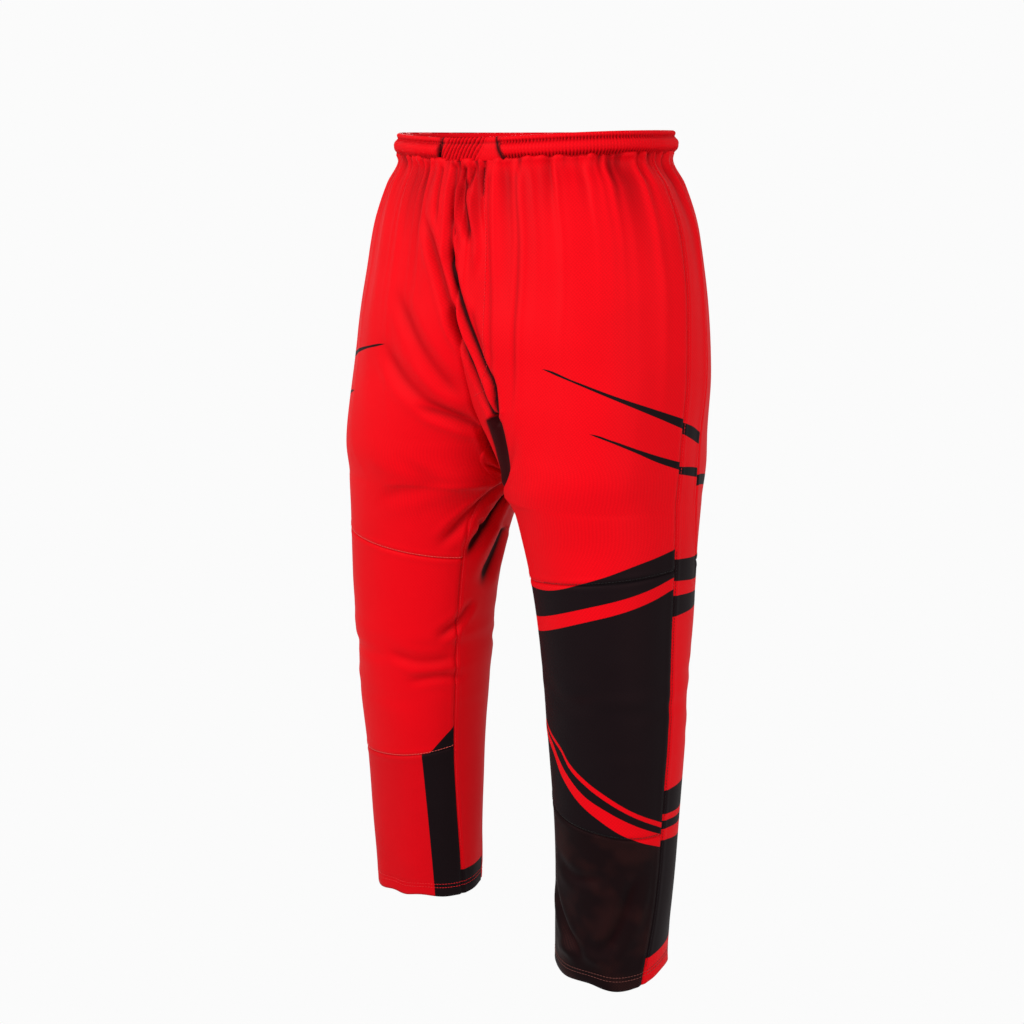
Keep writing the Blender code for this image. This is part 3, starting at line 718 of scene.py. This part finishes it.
def printedKnit(name, look, mesh=None):
    # polyester knit, dyed through in print: soft sheen, fine dimples, slightly uneven colour, with painted
    # shade in its creases and dimple hollows
    material, shader = newMaterial(name)
    links = material.node_tree.links
    uv = addNode(material, "UVMap", uv_map="cloth").outputs["UV"]
    place = addNode(material, "TexCoord").outputs["Object"]
    blotch = noiseNode(material, place, look["blotches"], 3.0)
    red = blend(material, blotch, look["redDeep"], look["red"])
    black = blend(material, blotch, look["black"], look["blackLift"])
    mask = between(material, attributeValue(material, "ink"), -look["inkEdge"], look["inkEdge"])
    for slash in ("slashA", "slashB"):
        wedge = mathNode(material, "MINIMUM", attributeValue(material, slash + "Upper"),
                         attributeValue(material, slash + "Lower"))
        wedge = between(material, wedge, -look["slashEdge"], look["slashEdge"])
        mask = mathNode(material, "MAXIMUM", mask, wedge)
    colour = blend(material, mask, red, black)
    turned = addNode(material, "Mapping", {"Vector": uv, "Rotation": (0, 0, math.radians(45))})
    pitch = mesh["pitch"] if mesh else look["loopPitch"]
    loops = addNode(material, "TexVoronoi", {"Vector": turned.outputs["Vector"], "Scale": 1 / pitch,
                                             "Randomness": look["loopUneven"]}, voronoi_dimensions="2D")
    loops = loops.outputs["Distance"]
    # painted shade: the dimples' hollows are darkened a little
    hollow = mathNode(material, "MULTIPLY", loops, look["dimpleShade"])
    colour = blend(material, hollow, colour, look["paintedShadeTone"])
    fuzz = noiseNode(material, uv, look["fuzz"], 2.0)
    relief = mathNode(material, "ADD", loops, mathNode(material, "MULTIPLY", fuzz, 0.5))
    if mesh:
        # open mesh: each hole is painted with shade, the dark inside of the leg, or in patches the cloth
        # behind seen dim through it
        hole = between(material, loops, mesh["hole"] + mesh["holeEdge"], mesh["hole"] - mesh["holeEdge"])
        patch = between(material, noiseNode(material, uv, mesh["patches"], 2.0), *mesh["patchRange"])
        behind = blend(material, patch, mesh["hollow"], mesh["behind"])
        share = mathNode(material, "MULTIPLY", hole, mesh["strength"])
        inked = mask if mesh["onlyInk"] else mathNode(material, "SUBTRACT", 1.0, mask)
        colour = blend(material, mathNode(material, "MULTIPLY", share, inked), colour, behind)
    # painted shade: cloth deep in a crease is darkened, as it catches less light
    shade = mathNode(material, "MULTIPLY", attributeValue(material, "paintedShade"), look["creaseShade"])
    colour = blend(material, shade, colour, look["paintedShadeTone"])
    bump = addNode(material, "Bump", {"Height": relief, "Strength": look["loopStrength"],
                                      "Distance": look["loopDepth"]})
    links.new(colour, shader.inputs["Base Color"])
    links.new(bump.outputs["Normal"], shader.inputs["Normal"])
    setInputs(shader, {
        "Roughness": look["roughness"], "Specular IOR Level": look["specular"],
        "Specular Tint": look["specularTint"], "Sheen Weight": look["sheen"],
        "Sheen Roughness": look["sheenRoughness"], "Sheen Tint": look["sheenTint"],
    })
    return material


knitRed = printedKnit("printedPolyesterJersey", jersey)
# the holes are painted: near black for the shaded inside of the leg, and dim colours for the cloth behind
meshBlack = printedKnit("openPolyesterMeshBlack", dict(jersey, black="040304", blackLift="080608"),
                        dict(openMesh, hole=0.30, hollow="030303", behind="3A1A15", onlyInk=True))
meshRed = printedKnit("openPolyesterMeshRed", dict(jersey, red="CE000E", redDeep="C0000B"),
                      dict(openMesh, hole=0.26, hollow="8E0610", behind="A00812", onlyInk=False))


def plainMaterial(name, hexColour, roughness, sheen, grain):
    # spun thread or covered rubber: one dull colour broken by a fine grain
    material, shader = newMaterial(name)
    fibre = noiseNode(material, addNode(material, "TexCoord").outputs["Object"], 1000 / grain, 2.0)
    tone = toLinear(hexColour)
    dark = tuple(c * 0.8 for c in tone[:3]) + (1.0,)
    bump = addNode(material, "Bump", {"Height": fibre, "Strength": 0.3, "Distance": 0.0002})
    material.node_tree.links.new(blend(material, fibre, dark, tone), shader.inputs["Base Color"])
    material.node_tree.links.new(bump.outputs["Normal"], shader.inputs["Normal"])
    setInputs(shader, {"Roughness": roughness, "Specular IOR Level": 0.2, "Sheen Weight": sheen})
    return material


threadTones = {"Red": "DE1822", "Pale": "F0625A", "Brown": "6E3A33", "Black": "0E0C0D"}
threads = {name: plainMaterial("spunPolyesterThread" + name, tone, 0.7, 0.05, 0.6)
           for name, tone in threadTones.items()}
elasticWhite = plainMaterial("knittedElasticWhite", "E6E3DC", 0.8, 0.2, 1.2)
print("materials")


def addGrid(name, columns, rows):
    bpy.ops.object.select_all(action="DESELECT")
    bpy.ops.mesh.primitive_grid_add(x_subdivisions=columns, y_subdivisions=rows, size=1)
    piece = bpy.context.object
    piece.name = piece.data.name = name
    spots = np.zeros(len(piece.data.vertices) * 3)
    piece.data.vertices.foreach_get("co", spots)
    spots = spots.reshape(-1, 3)
    return piece, spots[:, 0] + 0.5, 0.5 - spots[:, 1]


def setAttribute(piece, name, values):
    piece.data.attributes.new(name, "FLOAT", "POINT").data.foreach_set("value", values.astype(np.float32))


def setUv(piece, u, v):
    # the cloth's own coordinates, in mm
    corners = np.zeros(len(piece.data.loops), int)
    piece.data.loops.foreach_get("vertex_index", corners)
    layer = piece.data.uv_layers[0] if piece.data.uv_layers else piece.data.uv_layers.new()
    layer.name = "cloth"
    layer.data.foreach_set("uv", np.c_[u[corners], v[corners]].ravel().astype(np.float32))


def leaveUnprinted(piece, names):
    for name in names:
        setAttribute(piece, name, np.full(len(piece.data.vertices), unprinted))


def pickOut(piece):
    bpy.ops.object.select_all(action="DESELECT")
    piece.select_set(True)
    bpy.context.view_layer.objects.active = piece


def editWhole(piece, steps):
    # run edit-mode steps, each on all of the mesh
    pickOut(piece)
    bpy.ops.object.mode_set(mode="EDIT")
    for step, settings in steps:
        bpy.ops.mesh.select_all(action="SELECT")
        step(**settings)
    bpy.ops.object.mode_set(mode="OBJECT")


def finishSheet(piece, points, centre, thickness, material):
    piece.data.vertices.foreach_set("co", points.ravel())
    piece.data.update()
    middles = np.zeros(len(piece.data.polygons) * 3)
    facing = np.zeros(len(piece.data.polygons) * 3)
    piece.data.polygons.foreach_get("center", middles)
    piece.data.polygons.foreach_get("normal", facing)
    middles, facing = middles.reshape(-1, 3), facing.reshape(-1, 3)
    if np.sum(facing * (middles - centre)) < 0:
        piece.data.flip_normals()
    pickOut(piece)
    wall = piece.modifiers.new("cloth", "SOLIDIFY")
    wall.thickness = thickness
    wall.offset = -1
    bpy.ops.object.modifier_apply(modifier=wall.name)
    bpy.ops.object.shade_smooth()
    piece.data.materials.clear()
    piece.data.materials.append(material)
    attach(piece, "root")


def clothSize(side, turn, z, columns, rows):
    # what the panel was cut to: the worn shape's own widths, lengths and area before it is gathered
    flat = lookUp(side, turn, z)[0].reshape(rows, columns, 3)
    across = np.linalg.norm(np.diff(flat, axis=1), axis=2)
    down = np.linalg.norm(np.diff(flat, axis=0), axis=2)
    area = float((across[1:] * down[:, 1:]).sum())
    return float(across.sum(axis=1).max()), float(down.sum(axis=0).max()), area


def legMiddle(side):
    return np.array((0.13 * mirrorOf[side], -0.03, -0.6))


panelGrid = {
    "reach": 0.26, "narrowShare": 0.45, "tall": 1.1,     # metres of cloth across a panel; points' proportion
    "frontLean": 1.4,            # finer beside the middle, where the folds are sharp
    "settles": 8, "innerColumns": 64, "innerLength": 0.65, "gussetPower": 1.5,
}


def makePanel(panel, side, firstSeam, lastSeam, topLine, lowLine, material, node):
    share = panelGrid["narrowShare"] if panel == "sidePanel" else 1.0
    height = float(topLine(side, np.array([0.5]))[0] - lowLine(side, np.array([0.5]))[0])
    fineness = cut["frontFineness"] if panel == "frontPanel" else cut["fineness"]
    columns = round(panelGrid["reach"] * share / fineness)
    rows = round(height / fineness / panelGrid["tall"])
    piece, u, v = addGrid(panel + side.capitalize(), columns, rows)
    u = u**panelGrid["frontLean"] if panel == "frontPanel" else u
    z = -0.03 - 0.9 * v                          # a first guess, then the height settles
    for settle in range(panelGrid["settles"]):
        first, last = firstSeam(side, z), lastSeam(side, z)
        turn = first + (last - first) * u
        top, low = topLine(side, turn), lowLine(side, turn)
        z = top + (low - top) * v
    return dressPanel(piece, panel, side, turn, z, columns + 1, rows + 1, material, node)


def makeInnerPanel(side, node):
    # crotch gusset and inner leg in one: it starts on the U of the crotch seam
    power = panelGrid["gussetPower"]
    columns = panelGrid["innerColumns"]
    rows = round(panelGrid["innerLength"] / cut["frontFineness"] / panelGrid["tall"])
    piece, u, v = addGrid("innerPanel" + side.capitalize(), columns, rows)
    lean = 2 * u - 1
    top = -cut["rise"] + cut["gussetRise"] * np.abs(lean)**power
    z = top + (-cut["length"] - top) * v
    reach = np.where(lean < 0, innerFront(side, z), 2 - innerBack(side, z))
    begun = (np.maximum(z + cut["rise"], 0) / cut["gussetRise"])**(1 / power)
    share = np.clip((np.abs(lean) - begun) / np.maximum(1 - begun, 1e-6), 0, 1)
    turn = np.where(lean < 0, reach * share, 2 - reach * share)
    return dressPanel(piece, "innerPanel", side, turn, z, columns + 1, rows + 1, knitRed, node)


def dressPanel(piece, panel, side, turn, z, columns, rows, material, node):
    points, paintedShade = drapeCloth(side, turn, z)
    # painted shade of the creases, stored on the cloth for its material to darken it
    setAttribute(piece, "paintedShade", paintedShade)
    setAttribute(piece, "ink", inkField(panel, side, turn, z))
    for name, values in zip(slashNames, slashFields(panel, side, turn, z)):
        setAttribute(piece, name, values)
    arc = np.where(turn > 1.5, turn - 2, turn) if panel == "innerPanel" else turn
    setUv(piece, arc * girthAt(side, z) * 1000, z * 1000)
    finishSheet(piece, points, legMiddle(side), cut["thickness"], material)
    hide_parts(node)
    return piece, clothSize(side, turn, z, columns, rows)


def clothPieces():
    made = {}
    for side in ("left", "right"):
        upper = (knitRed, "red_jersey")
        lower = (knitRed, "black_jersey" if side == "left" else "red_jersey")
        shin = (meshBlack, "black_mesh") if side == "left" else (meshRed, "red_mesh")
        plan = [
            ("frontPanel", middleOrInnerFront, sideFront, bandLine, kneeTop, *upper, "front_panel_"),
            ("kneePanel", innerFront, sideFront, kneeTop, kneeBottom, *lower, "knee_panel_"),
            ("shinPanel", innerFront, sideFront, kneeBottom, hemLine, *shin, "shin_panel_"),
            ("sidePanel", sideFront, sideBack, bandLine, hemLine, *upper, "side_panel_"),
            ("backPanel", sideBack, middleOrInnerBack, bandLine, kneeTop, *upper, "back_panel_"),
            ("calfPanel", sideBack, innerBack, kneeTop, hemLine, *lower, "calf_panel_"),
        ]
        for panel, first, last, top, low, material, slot, node in plan:
            made[panel + side] = makePanel(panel, side, first, last, top, low, material, node + side)
        made["innerPanel" + side] = makeInnerPanel(side, "inner_panel_" + side)
    return made


panels = clothPieces()
print("panels")

# waistband: two gathered rolls and a flatter piece between them at the front
bandLook = {
    "flatRight": -0.030, "flatLeft": 0.050, "spacing": 0.0011, "around": 40, "overlap": 0.0012,
    "outerShare": 0.72, "innerWall": -0.0062, "endPinch": 0.006, "seat": 0.0012,
    "groove": 0.0066,            # the height of the stitched groove below the top edge
    "slant": {"waistRollLeft": (0.010, 0), "waistRollRight": (0, -0.004)},
}
ribLook = {
    "pitch": 0.0038, "jitter": 0.35, "slope": 0.7, "plain": 0.00040, "atGroove": 0.00080, "low": 0.00100,
    "flatPitch": 0.0054, "flatJitter": 0.45, "flatLean": 0.016, "flatDepth": 0.0014, "flatFine": 0.00018,
}
# each profile is (distance below the top edge, distance outward)
rollProfile = [(0.0000, 0.0000), (0.0010, 0.0018), (0.0028, 0.0026), (0.0048, 0.0018), (0.0064, 0.0006),
               (0.0080, 0.0022), (0.0105, 0.0052), (0.0145, 0.0066), (0.0185, 0.0058), (0.0220, 0.0034),
               (0.0248, 0.0006), (0.0272, -0.0016)]
flatProfile = [(0.0000, -0.0004), (0.0010, 0.0008), (0.0030, 0.0014), (0.0050, 0.0010), (0.0065, 0.0006),
               (0.0085, 0.0012), (0.0130, 0.0018), (0.0190, 0.0016), (0.0240, 0.0008), (0.0272, -0.0006)]


def waistPoint(s, outward, z):
    # s runs round the waist in metres, from the middle of the front towards the wearer's left
    girth = float(girthAt("left", np.array([-cut["band"]]))[0])
    s = (s + 2 * girth) % (4 * girth) - 2 * girth
    level = np.full_like(s, -cut["band"])
    turn = np.abs(s) / girth
    left, leftOut = lookUp("left", turn, level)
    right, rightOut = lookUp("right", turn, level)
    onLeft = (s >= 0)[:, None]
    base, out = np.where(onLeft, left, right), np.where(onLeft, leftOut, rightOut)
    out[:, 2] = 0
    out /= np.linalg.norm(out, axis=1, keepdims=True)
    point = base + out * outward[:, None]
    point[:, 2] = z + waistDip(s)
    return point


def hump(x, middle, width):
    return np.exp(-((x - middle) / width)**2)


def flatRibs(s, h, height, phase, jitter):
    # slanted pleats in the flat front, with painted shade in their hollows and at the groove, and the slits
    # where the rolls meet it painted dark as shade
    down = h / height
    lean = down * ribLook["flatLean"]
    inside = 1 / (1 + np.exp((s - 0.034 + lean) / 0.002)) * (1 / (1 + np.exp((-0.022 - s - lean) / 0.003)))
    wave = np.sin(2 * math.pi * ((s + lean) / ribLook["flatPitch"] + ribLook["flatJitter"] * jitter))
    rib = wave * ribLook["flatDepth"] * inside + np.sin(2 * math.pi * phase) * ribLook["flatFine"]
    paintedShade = 0.65 * np.clip(-rib / ribLook["flatDepth"], 0, 1) + 0.30 * hump(h, bandLook["groove"], 0.0012)
    leftSlit = bandLook["flatLeft"] - 0.0035 + 0.010 * down**2
    rightSlit = bandLook["flatRight"] - 0.0005 - 0.005 * down
    return rib, paintedShade + hump(s, leftSlit, 0.0014 + 0.10 * h) + hump(s, rightSlit, 0.0022)


def rollRibs(h, height, phase, jitter, toEnd):
    # fine gathers, deepest at the groove and at the low edge; painted shade in their hollows, at the groove,
    # under the roll and at its ends
    wave = np.sin(2 * math.pi * (phase + ribLook["slope"] * np.clip(h / height - 0.6, 0, 1)))
    strength = ribLook["plain"] + ribLook["atGroove"] * hump(h, bandLook["groove"], 0.0022)
    strength += ribLook["low"] * np.clip((h - 0.0165) / 0.005, 0, 1)
    hollow = np.clip(-wave, 0, 1)
    paintedShade = (0.20 + 0.6 * hollow) * hump(h, bandLook["groove"], 0.0022)
    paintedShade += (0.2 + 0.7 * hollow) * np.clip((h - 0.0185) / 0.004, 0, 1) + hump(toEnd, 0, 0.0030)
    return wave * strength * (1 + 0.5 * jitter), paintedShade


def makeBand(name, start, end, profile, node):
    piece, u, v = addGrid(name, round((end - start) / bandLook["spacing"]), bandLook["around"])
    height, lastOut = profile[-1]
    outer = v < bandLook["outerShare"]
    down = np.where(outer, v / bandLook["outerShare"], (1 - v) / (1 - bandLook["outerShare"]))
    h = down * height
    tail = np.where(down > 0.5, lastOut, profile[0][1])
    inner = tail + (bandLook["innerWall"] - tail) * np.sin(down * math.pi)**0.22
    # the ends are cut at a slant and pinched shut
    slantStart, slantEnd = bandLook["slant"].get(name, (0, 0))
    slantStart, slantEnd = slantStart * down**2, slantEnd * down
    s = start + slantStart + (end + slantEnd - start - slantStart) * u
    toStart, toFinish = u * (end - start), (1 - u) * (end - start)
    toEnd = {"waistRollLeft": toStart, "waistRollRight": toFinish}.get(name, np.minimum(toStart, toFinish))
    pinch = np.sqrt(np.clip(1 - (1 - np.clip(toEnd / bandLook["endPinch"], 0, 1))**2, 0, 1))
    along = np.c_[s, np.zeros_like(s), np.zeros_like(s)]
    jitter = noise(along, (0.011, 1, 1), 31)
    phase = s / ribLook["pitch"] + ribLook["jitter"] * jitter
    if name == "waistFlatFront":
        rib, paintedShade = flatRibs(s, h, height, phase, jitter)
    else:
        rib, paintedShade = rollRibs(h, height, phase, jitter, toEnd)
    out = np.where(outer, smoothCurve(profile)(h) + rib, inner)
    centreOut, centreH = -0.0005, height / 2
    out = centreOut + (out - centreOut) * pinch
    sag = 0.0006 * noise(along, (0.05, 1, 1), 33)
    z = -centreH - (h - centreH) * (0.55 + 0.45 * pinch)
    points = waistPoint(s, out + sag - bandLook["seat"], z)
    # painted shade on the band's outer face
    setAttribute(piece, "paintedShade", np.clip(paintedShade, 0, 1) * outer)
    leaveUnprinted(piece, ("ink",) + slashNames)
    setUv(piece, s * 1000, (h + 0.03 * ~outer) * 1000)
    piece.data.vertices.foreach_set("co", points.ravel())
    editWhole(piece, [(bpy.ops.mesh.remove_doubles, {"threshold": 0.00005}),
                      (bpy.ops.mesh.fill_holes, {"sides": 0}),
                      (bpy.ops.mesh.normals_make_consistent, {"inside": False})])
    bpy.ops.object.shade_smooth()
    piece.data.materials.clear()
    piece.data.materials.append(knitRed)
    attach(piece, "root")
    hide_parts(node)


waistHalf = 2 * float(girthAt("left", np.array([-cut["band"]]))[0])
backEnd = waistHalf + bandLook["overlap"]        # the rolls overlap at the middle of the back
makeBand("waistRollLeft", bandLook["flatLeft"] - 0.002, backEnd, rollProfile, "waistband_left")
makeBand("waistRollRight", -backEnd, bandLook["flatRight"] - 0.002, rollProfile, "waistband_right")
makeBand("waistFlatFront", bandLook["flatRight"] - 0.006, bandLook["flatLeft"] + 0.008, flatProfile,
         "waistband_front")
print("waistband")

# stitches: one short stitch is modelled, then laid along each line
threadLook = {
    "stitch": 0.0030, "gap": 0.0010, "radius": 0.00032, "fromSeam": 0.0020, "fromKnee": 0.0022,
    "taper": 0.55, "fine": 0.8, "flyFine": 0.7, "lift": 0.0006, "hemLift": 0.0005,
}


def modelStitch():
    bpy.ops.object.select_all(action="DESELECT")
    bpy.ops.mesh.primitive_cylinder_add(vertices=5, radius=1, depth=1, end_fill_type="NGON")
    stitch = bpy.context.object
    editWhole(stitch, [(bpy.ops.mesh.bisect, {"plane_co": (0, 0, height), "plane_no": (0, 0, 1)})
                       for height in (0.25, -0.25)])
    spots = np.array([v.co[:] for v in stitch.data.vertices])
    faces = [tuple(p.vertices) for p in stitch.data.polygons]
    spots[:, :2] *= np.where(np.abs(spots[:, 2:]) > 0.4, threadLook["taper"], 1.0)
    bpy.data.objects.remove(stitch)
    return spots, faces


stitchSpots, stitchFaces = modelStitch()


def stitchLine(name, lines, thread, radius=1.0):
    spots, faces = [], []
    for side, turn, z, lift in lines:
        path = clothPoint(side, turn, z, lift)
        along = runningLength(path)
        step = threadLook["stitch"] + threadLook["gap"]
        for k in range(int(along[-1] / step)):
            ends = [k * step, k * step + threadLook["stitch"]]
            a, b = (np.array([np.interp(e, along, path[:, i]) for i in range(3)]) for e in ends)
            axis = (b - a) / (np.linalg.norm(b - a) + 1e-12)
            other = np.cross(axis, (0.3, 0.2, 0.93))
            other /= np.linalg.norm(other) + 1e-12
            third = np.cross(axis, other)
            local = stitchSpots * np.array((threadLook["radius"] * radius,) * 2 + (threadLook["stitch"],))
            base = len(spots) * len(stitchSpots)
            spots.append((a + b) / 2 + local[:, :1] * other + local[:, 1:2] * third + local[:, 2:] * axis)
            faces.extend(tuple(i + base for i in face) for face in stitchFaces)
    mesh = bpy.data.meshes.new(name)
    mesh.from_pydata(np.vstack(spots).tolist(), [], faces)
    mesh.materials.append(threads[thread])
    mesh.shade_smooth()
    piece = bpy.data.objects.new(name, mesh)
    bpy.context.scene.collection.objects.link(piece)
    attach(piece, "root")


def acrossLine(side, line, first, last):
    turn = np.linspace(first, last, 400)
    return side, turn, line(side, turn) + threadLook["fromKnee"], threadLook["lift"]


def downLine(side, seam, top, low, shift):
    z = np.linspace(top, low, 700)
    return side, seam(side, z) + shift / girthAt(side, z), z, threadLook["lift"]


flyStitch = smoothCurve([(-0.030, 0.030), (-0.128, 0.043), (-0.220, 0.045), (-0.290, 0.038), (-0.304, 0.012)])


def flySeam(side, z):
    return flyStitch(z) / girthAt(side, z)


def stitchLeg(side):
    # the thread follows the colour of the cloth
    name = side.capitalize()
    knee, hem, seam = ("Black", "Brown", "Black") if side == "left" else ("Pale", "Red", "Red")
    printed = 0.40 if side == "left" else float(innerFront(side, np.array([-0.52]))[0])
    beside, fine = threadLook["fromSeam"], threadLook["fine"]
    turn = np.linspace(0, 2, 900)
    hems = [(side, turn, np.full_like(turn, rise - cut["length"]), threadLook["hemLift"])
            for rise in seamLook["hemStitches"]]
    stitchLine("hemStitching" + name, hems, hem)
    kneeLines = [acrossLine(side, kneeTop, printed, 0.94), acrossLine(side, kneeBottom, 0.14, 0.94)]
    stitchLine("kneeStitching" + name, kneeLines, knee, fine)
    stitchLine("sideStitching" + name, [downLine(side, sideFront, -0.030, -0.475, beside)], "Red", fine)
    stitchLine("lowerSideStitching" + name, [downLine(side, sideFront, -0.477, -1.00, beside)], seam, fine)
    inseams = [downLine(side, innerFront, -0.43, -0.95, -beside),
               downLine(side, innerBack, -0.43, -0.95, beside)]
    stitchLine("inseamStitching" + name, inseams, "Red", fine)


stitchLeg("left")
stitchLeg("right")
stitchLine("kneeStitchingInner", [acrossLine("left", kneeTop, 0.14, 0.40)], "Red", threadLook["fine"])
stitchLine("flyStitching", [downLine("left", flySeam, -0.030, -0.304, 0)], "Red", threadLook["flyFine"])
print("stitching")


hemTurnUp = {"depth": 0.020, "behind": 0.0011, "columns": 150, "rows": 7}
flyLook = {
    "start": 0.004, "width": 0.032, "halfGirth": 0.28, "length": 0.270, "belowBand": 0.001, "behind": 0.0022,
    "columns": 12, "rows": 96,
}
innerThickness = 0.0008


def innerSheet(name, side, look, place, node=None):
    # a second layer behind the outer cloth
    piece, u, v = addGrid(name + side.capitalize(), look["columns"], look["rows"])
    turn, z = place(u, v)
    points = clothPoint(side, turn, z, -look["behind"])
    setAttribute(piece, "ink", np.full_like(z, unprinted) if node else inkField("hem", side, turn, z))
    leaveUnprinted(piece, slashNames)
    setUv(piece, turn * girthAt(side, z) * 1000, z * 1000)
    finishSheet(piece, points, legMiddle(side), innerThickness, knitRed)
    if node:
        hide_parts(node)
    return piece, clothSize(side, turn, z, look["columns"] + 1, look["rows"] + 1)


def hemPlace(u, v):
    return 2 * u, -cut["length"] + hemTurnUp["depth"] * (1 - v)


def flyPlace(u, v):
    # full width most of the way down, then rounded off
    width = flyLook["width"] / flyLook["halfGirth"] * np.sqrt(np.clip(1.02 - v**6, 0, 1))
    return flyLook["start"] + width * u, -cut["band"] - flyLook["belowBand"] - flyLook["length"] * v


for side in ("left", "right"):
    panels["hem" + side] = innerSheet("hemTurnUp", side, hemTurnUp, hemPlace)
for side, node in (("left", "fly_facing_left"), ("right", "fly_guard_right")):
    panels["fly" + side] = innerSheet("fly", side, flyLook, flyPlace, node)

elasticLook = {
    "top": -0.0048, "low": -0.0226, "behind": -0.0042, "thickness": 0.0014, "columns": 480, "rows": 6,
}


def makeElastic():
    # one flat ring of webbing inside the band, held to the same wave as the band
    piece, u, v = addGrid("waistElastic", elasticLook["columns"], elasticLook["rows"])
    s = (2 * u - 1) * waistHalf
    z = elasticLook["top"] + (elasticLook["low"] - elasticLook["top"]) * v
    piece.data.vertices.foreach_set("co", waistPoint(s, np.full_like(s, elasticLook["behind"]), z).ravel())
    editWhole(piece, [(bpy.ops.mesh.remove_doubles, {"threshold": 0.00005})])
    spots = np.zeros(len(piece.data.vertices) * 3)
    piece.data.vertices.foreach_get("co", spots)
    finishSheet(piece, spots, np.array((0, 0, -0.013)), elasticLook["thickness"], elasticWhite)
    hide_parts("waist_elastic")


makeElastic()
for name, (piece, (width, length, area)) in panels.items():
    print("cut", piece.name, round(width, 3), round(length, 3), round(area, 4))
print("sheets")

# camera: level turn to the wearer's left of straight ahead, looking a little down
cameraLook = {"turn": 37.0, "distance": 1.88, "height": -0.02, "down": 13.5, "aside": -0.026, "lens": 52.875}


def addCamera():
    turn, down = math.radians(cameraLook["turn"]), math.radians(cameraLook["down"])
    data = bpy.data.cameras.new("camera")
    data.lens = cameraLook["lens"]
    data.sensor_width = 36
    data.clip_start = 0.01
    camera = bpy.data.objects.new("camera", data)
    bpy.context.scene.collection.objects.link(camera)
    away = Vector((math.sin(turn), -math.cos(turn), 0)) * cameraLook["distance"]
    aside = Vector((math.cos(turn), math.sin(turn), 0)) * cameraLook["aside"]
    camera.location = away + aside + Vector((0, 0, cameraLook["height"]))
    ahead = Vector((-math.sin(turn) * math.cos(down), math.cos(turn) * math.cos(down), -math.sin(down)))
    camera.rotation_euler = ahead.to_track_quat("-Z", "Y").to_euler()
    bpy.context.scene.camera = camera


lightLook = {
    "key": {"at": (-0.7, -2.3, 0.8), "size": 0.8, "power": 60},
    "fill": {"at": (2.5, -1.2, 0.2), "size": 1.2, "power": 42},
    "back": {"at": (-1.8, 2.2, 1.0), "size": 1.4, "power": 40},
    "aim": (0, 0, -0.4),
    "around": 0.69,              # soft light from all sides
    "backdrop": 0.965,
}


def addLights():
    for name in ("key", "fill", "back"):
        light = lightLook[name]
        data = bpy.data.lights.new(name, "AREA")
        data.energy = light["power"]
        data.size = light["size"]
        lamp = bpy.data.objects.new(name, data)
        bpy.context.scene.collection.objects.link(lamp)
        lamp.location = light["at"]
        aim = Vector(lightLook["aim"]) - lamp.location
        lamp.rotation_euler = aim.to_track_quat("-Z", "Y").to_euler()
    # the room behind shows white, and lights the cloth more gently than it shows
    world = bpy.data.worlds.new("studio")
    world.use_nodes = True
    nodes = world.node_tree.nodes
    links = world.node_tree.links
    nodes["Background"].inputs["Color"].default_value = (1, 1, 1, 1)
    nodes["Background"].inputs["Strength"].default_value = lightLook["around"]
    backdrop = nodes.new("ShaderNodeBackground")
    backdrop.inputs["Color"].default_value = (1, 1, 1, 1)
    backdrop.inputs["Strength"].default_value = lightLook["backdrop"]
    path = nodes.new("ShaderNodeLightPath")
    mix = nodes.new("ShaderNodeMixShader")
    links.new(path.outputs["Is Camera Ray"], mix.inputs[0])
    links.new(nodes["Background"].outputs[0], mix.inputs[1])
    links.new(backdrop.outputs[0], mix.inputs[2])
    links.new(mix.outputs[0], nodes["World Output"].inputs["Surface"])
    bpy.context.scene.world = world


floorLook = {"below": 0.55, "size": 60, "tone": 0.0, "roughness": 0.9, "glow": 0.965}


def addFloor():
    bpy.ops.object.select_all(action="DESELECT")
    height = -cut["length"] - floorLook["below"]
    bpy.ops.mesh.primitive_plane_add(size=floorLook["size"], location=(0, 0, height))
    floor = bpy.context.object
    floor.name = "floor"
    # matt white paint, lit evenly from below as a light table is
    material, shader = newMaterial("paleMattPaint")
    setInputs(shader, {
        "Base Color": (floorLook["tone"],) * 3 + (1,), "Roughness": floorLook["roughness"],
        "Specular IOR Level": 0.0, "Emission Color": (1, 1, 1, 1), "Emission Strength": floorLook["glow"],
    })
    floor.data.materials.append(material)
    floor.visible_diffuse = False
    floor.visible_glossy = False


addCamera()
addLights()
addFloor()
bpy.context.scene.view_settings.view_transform = "Standard"
print("studio")
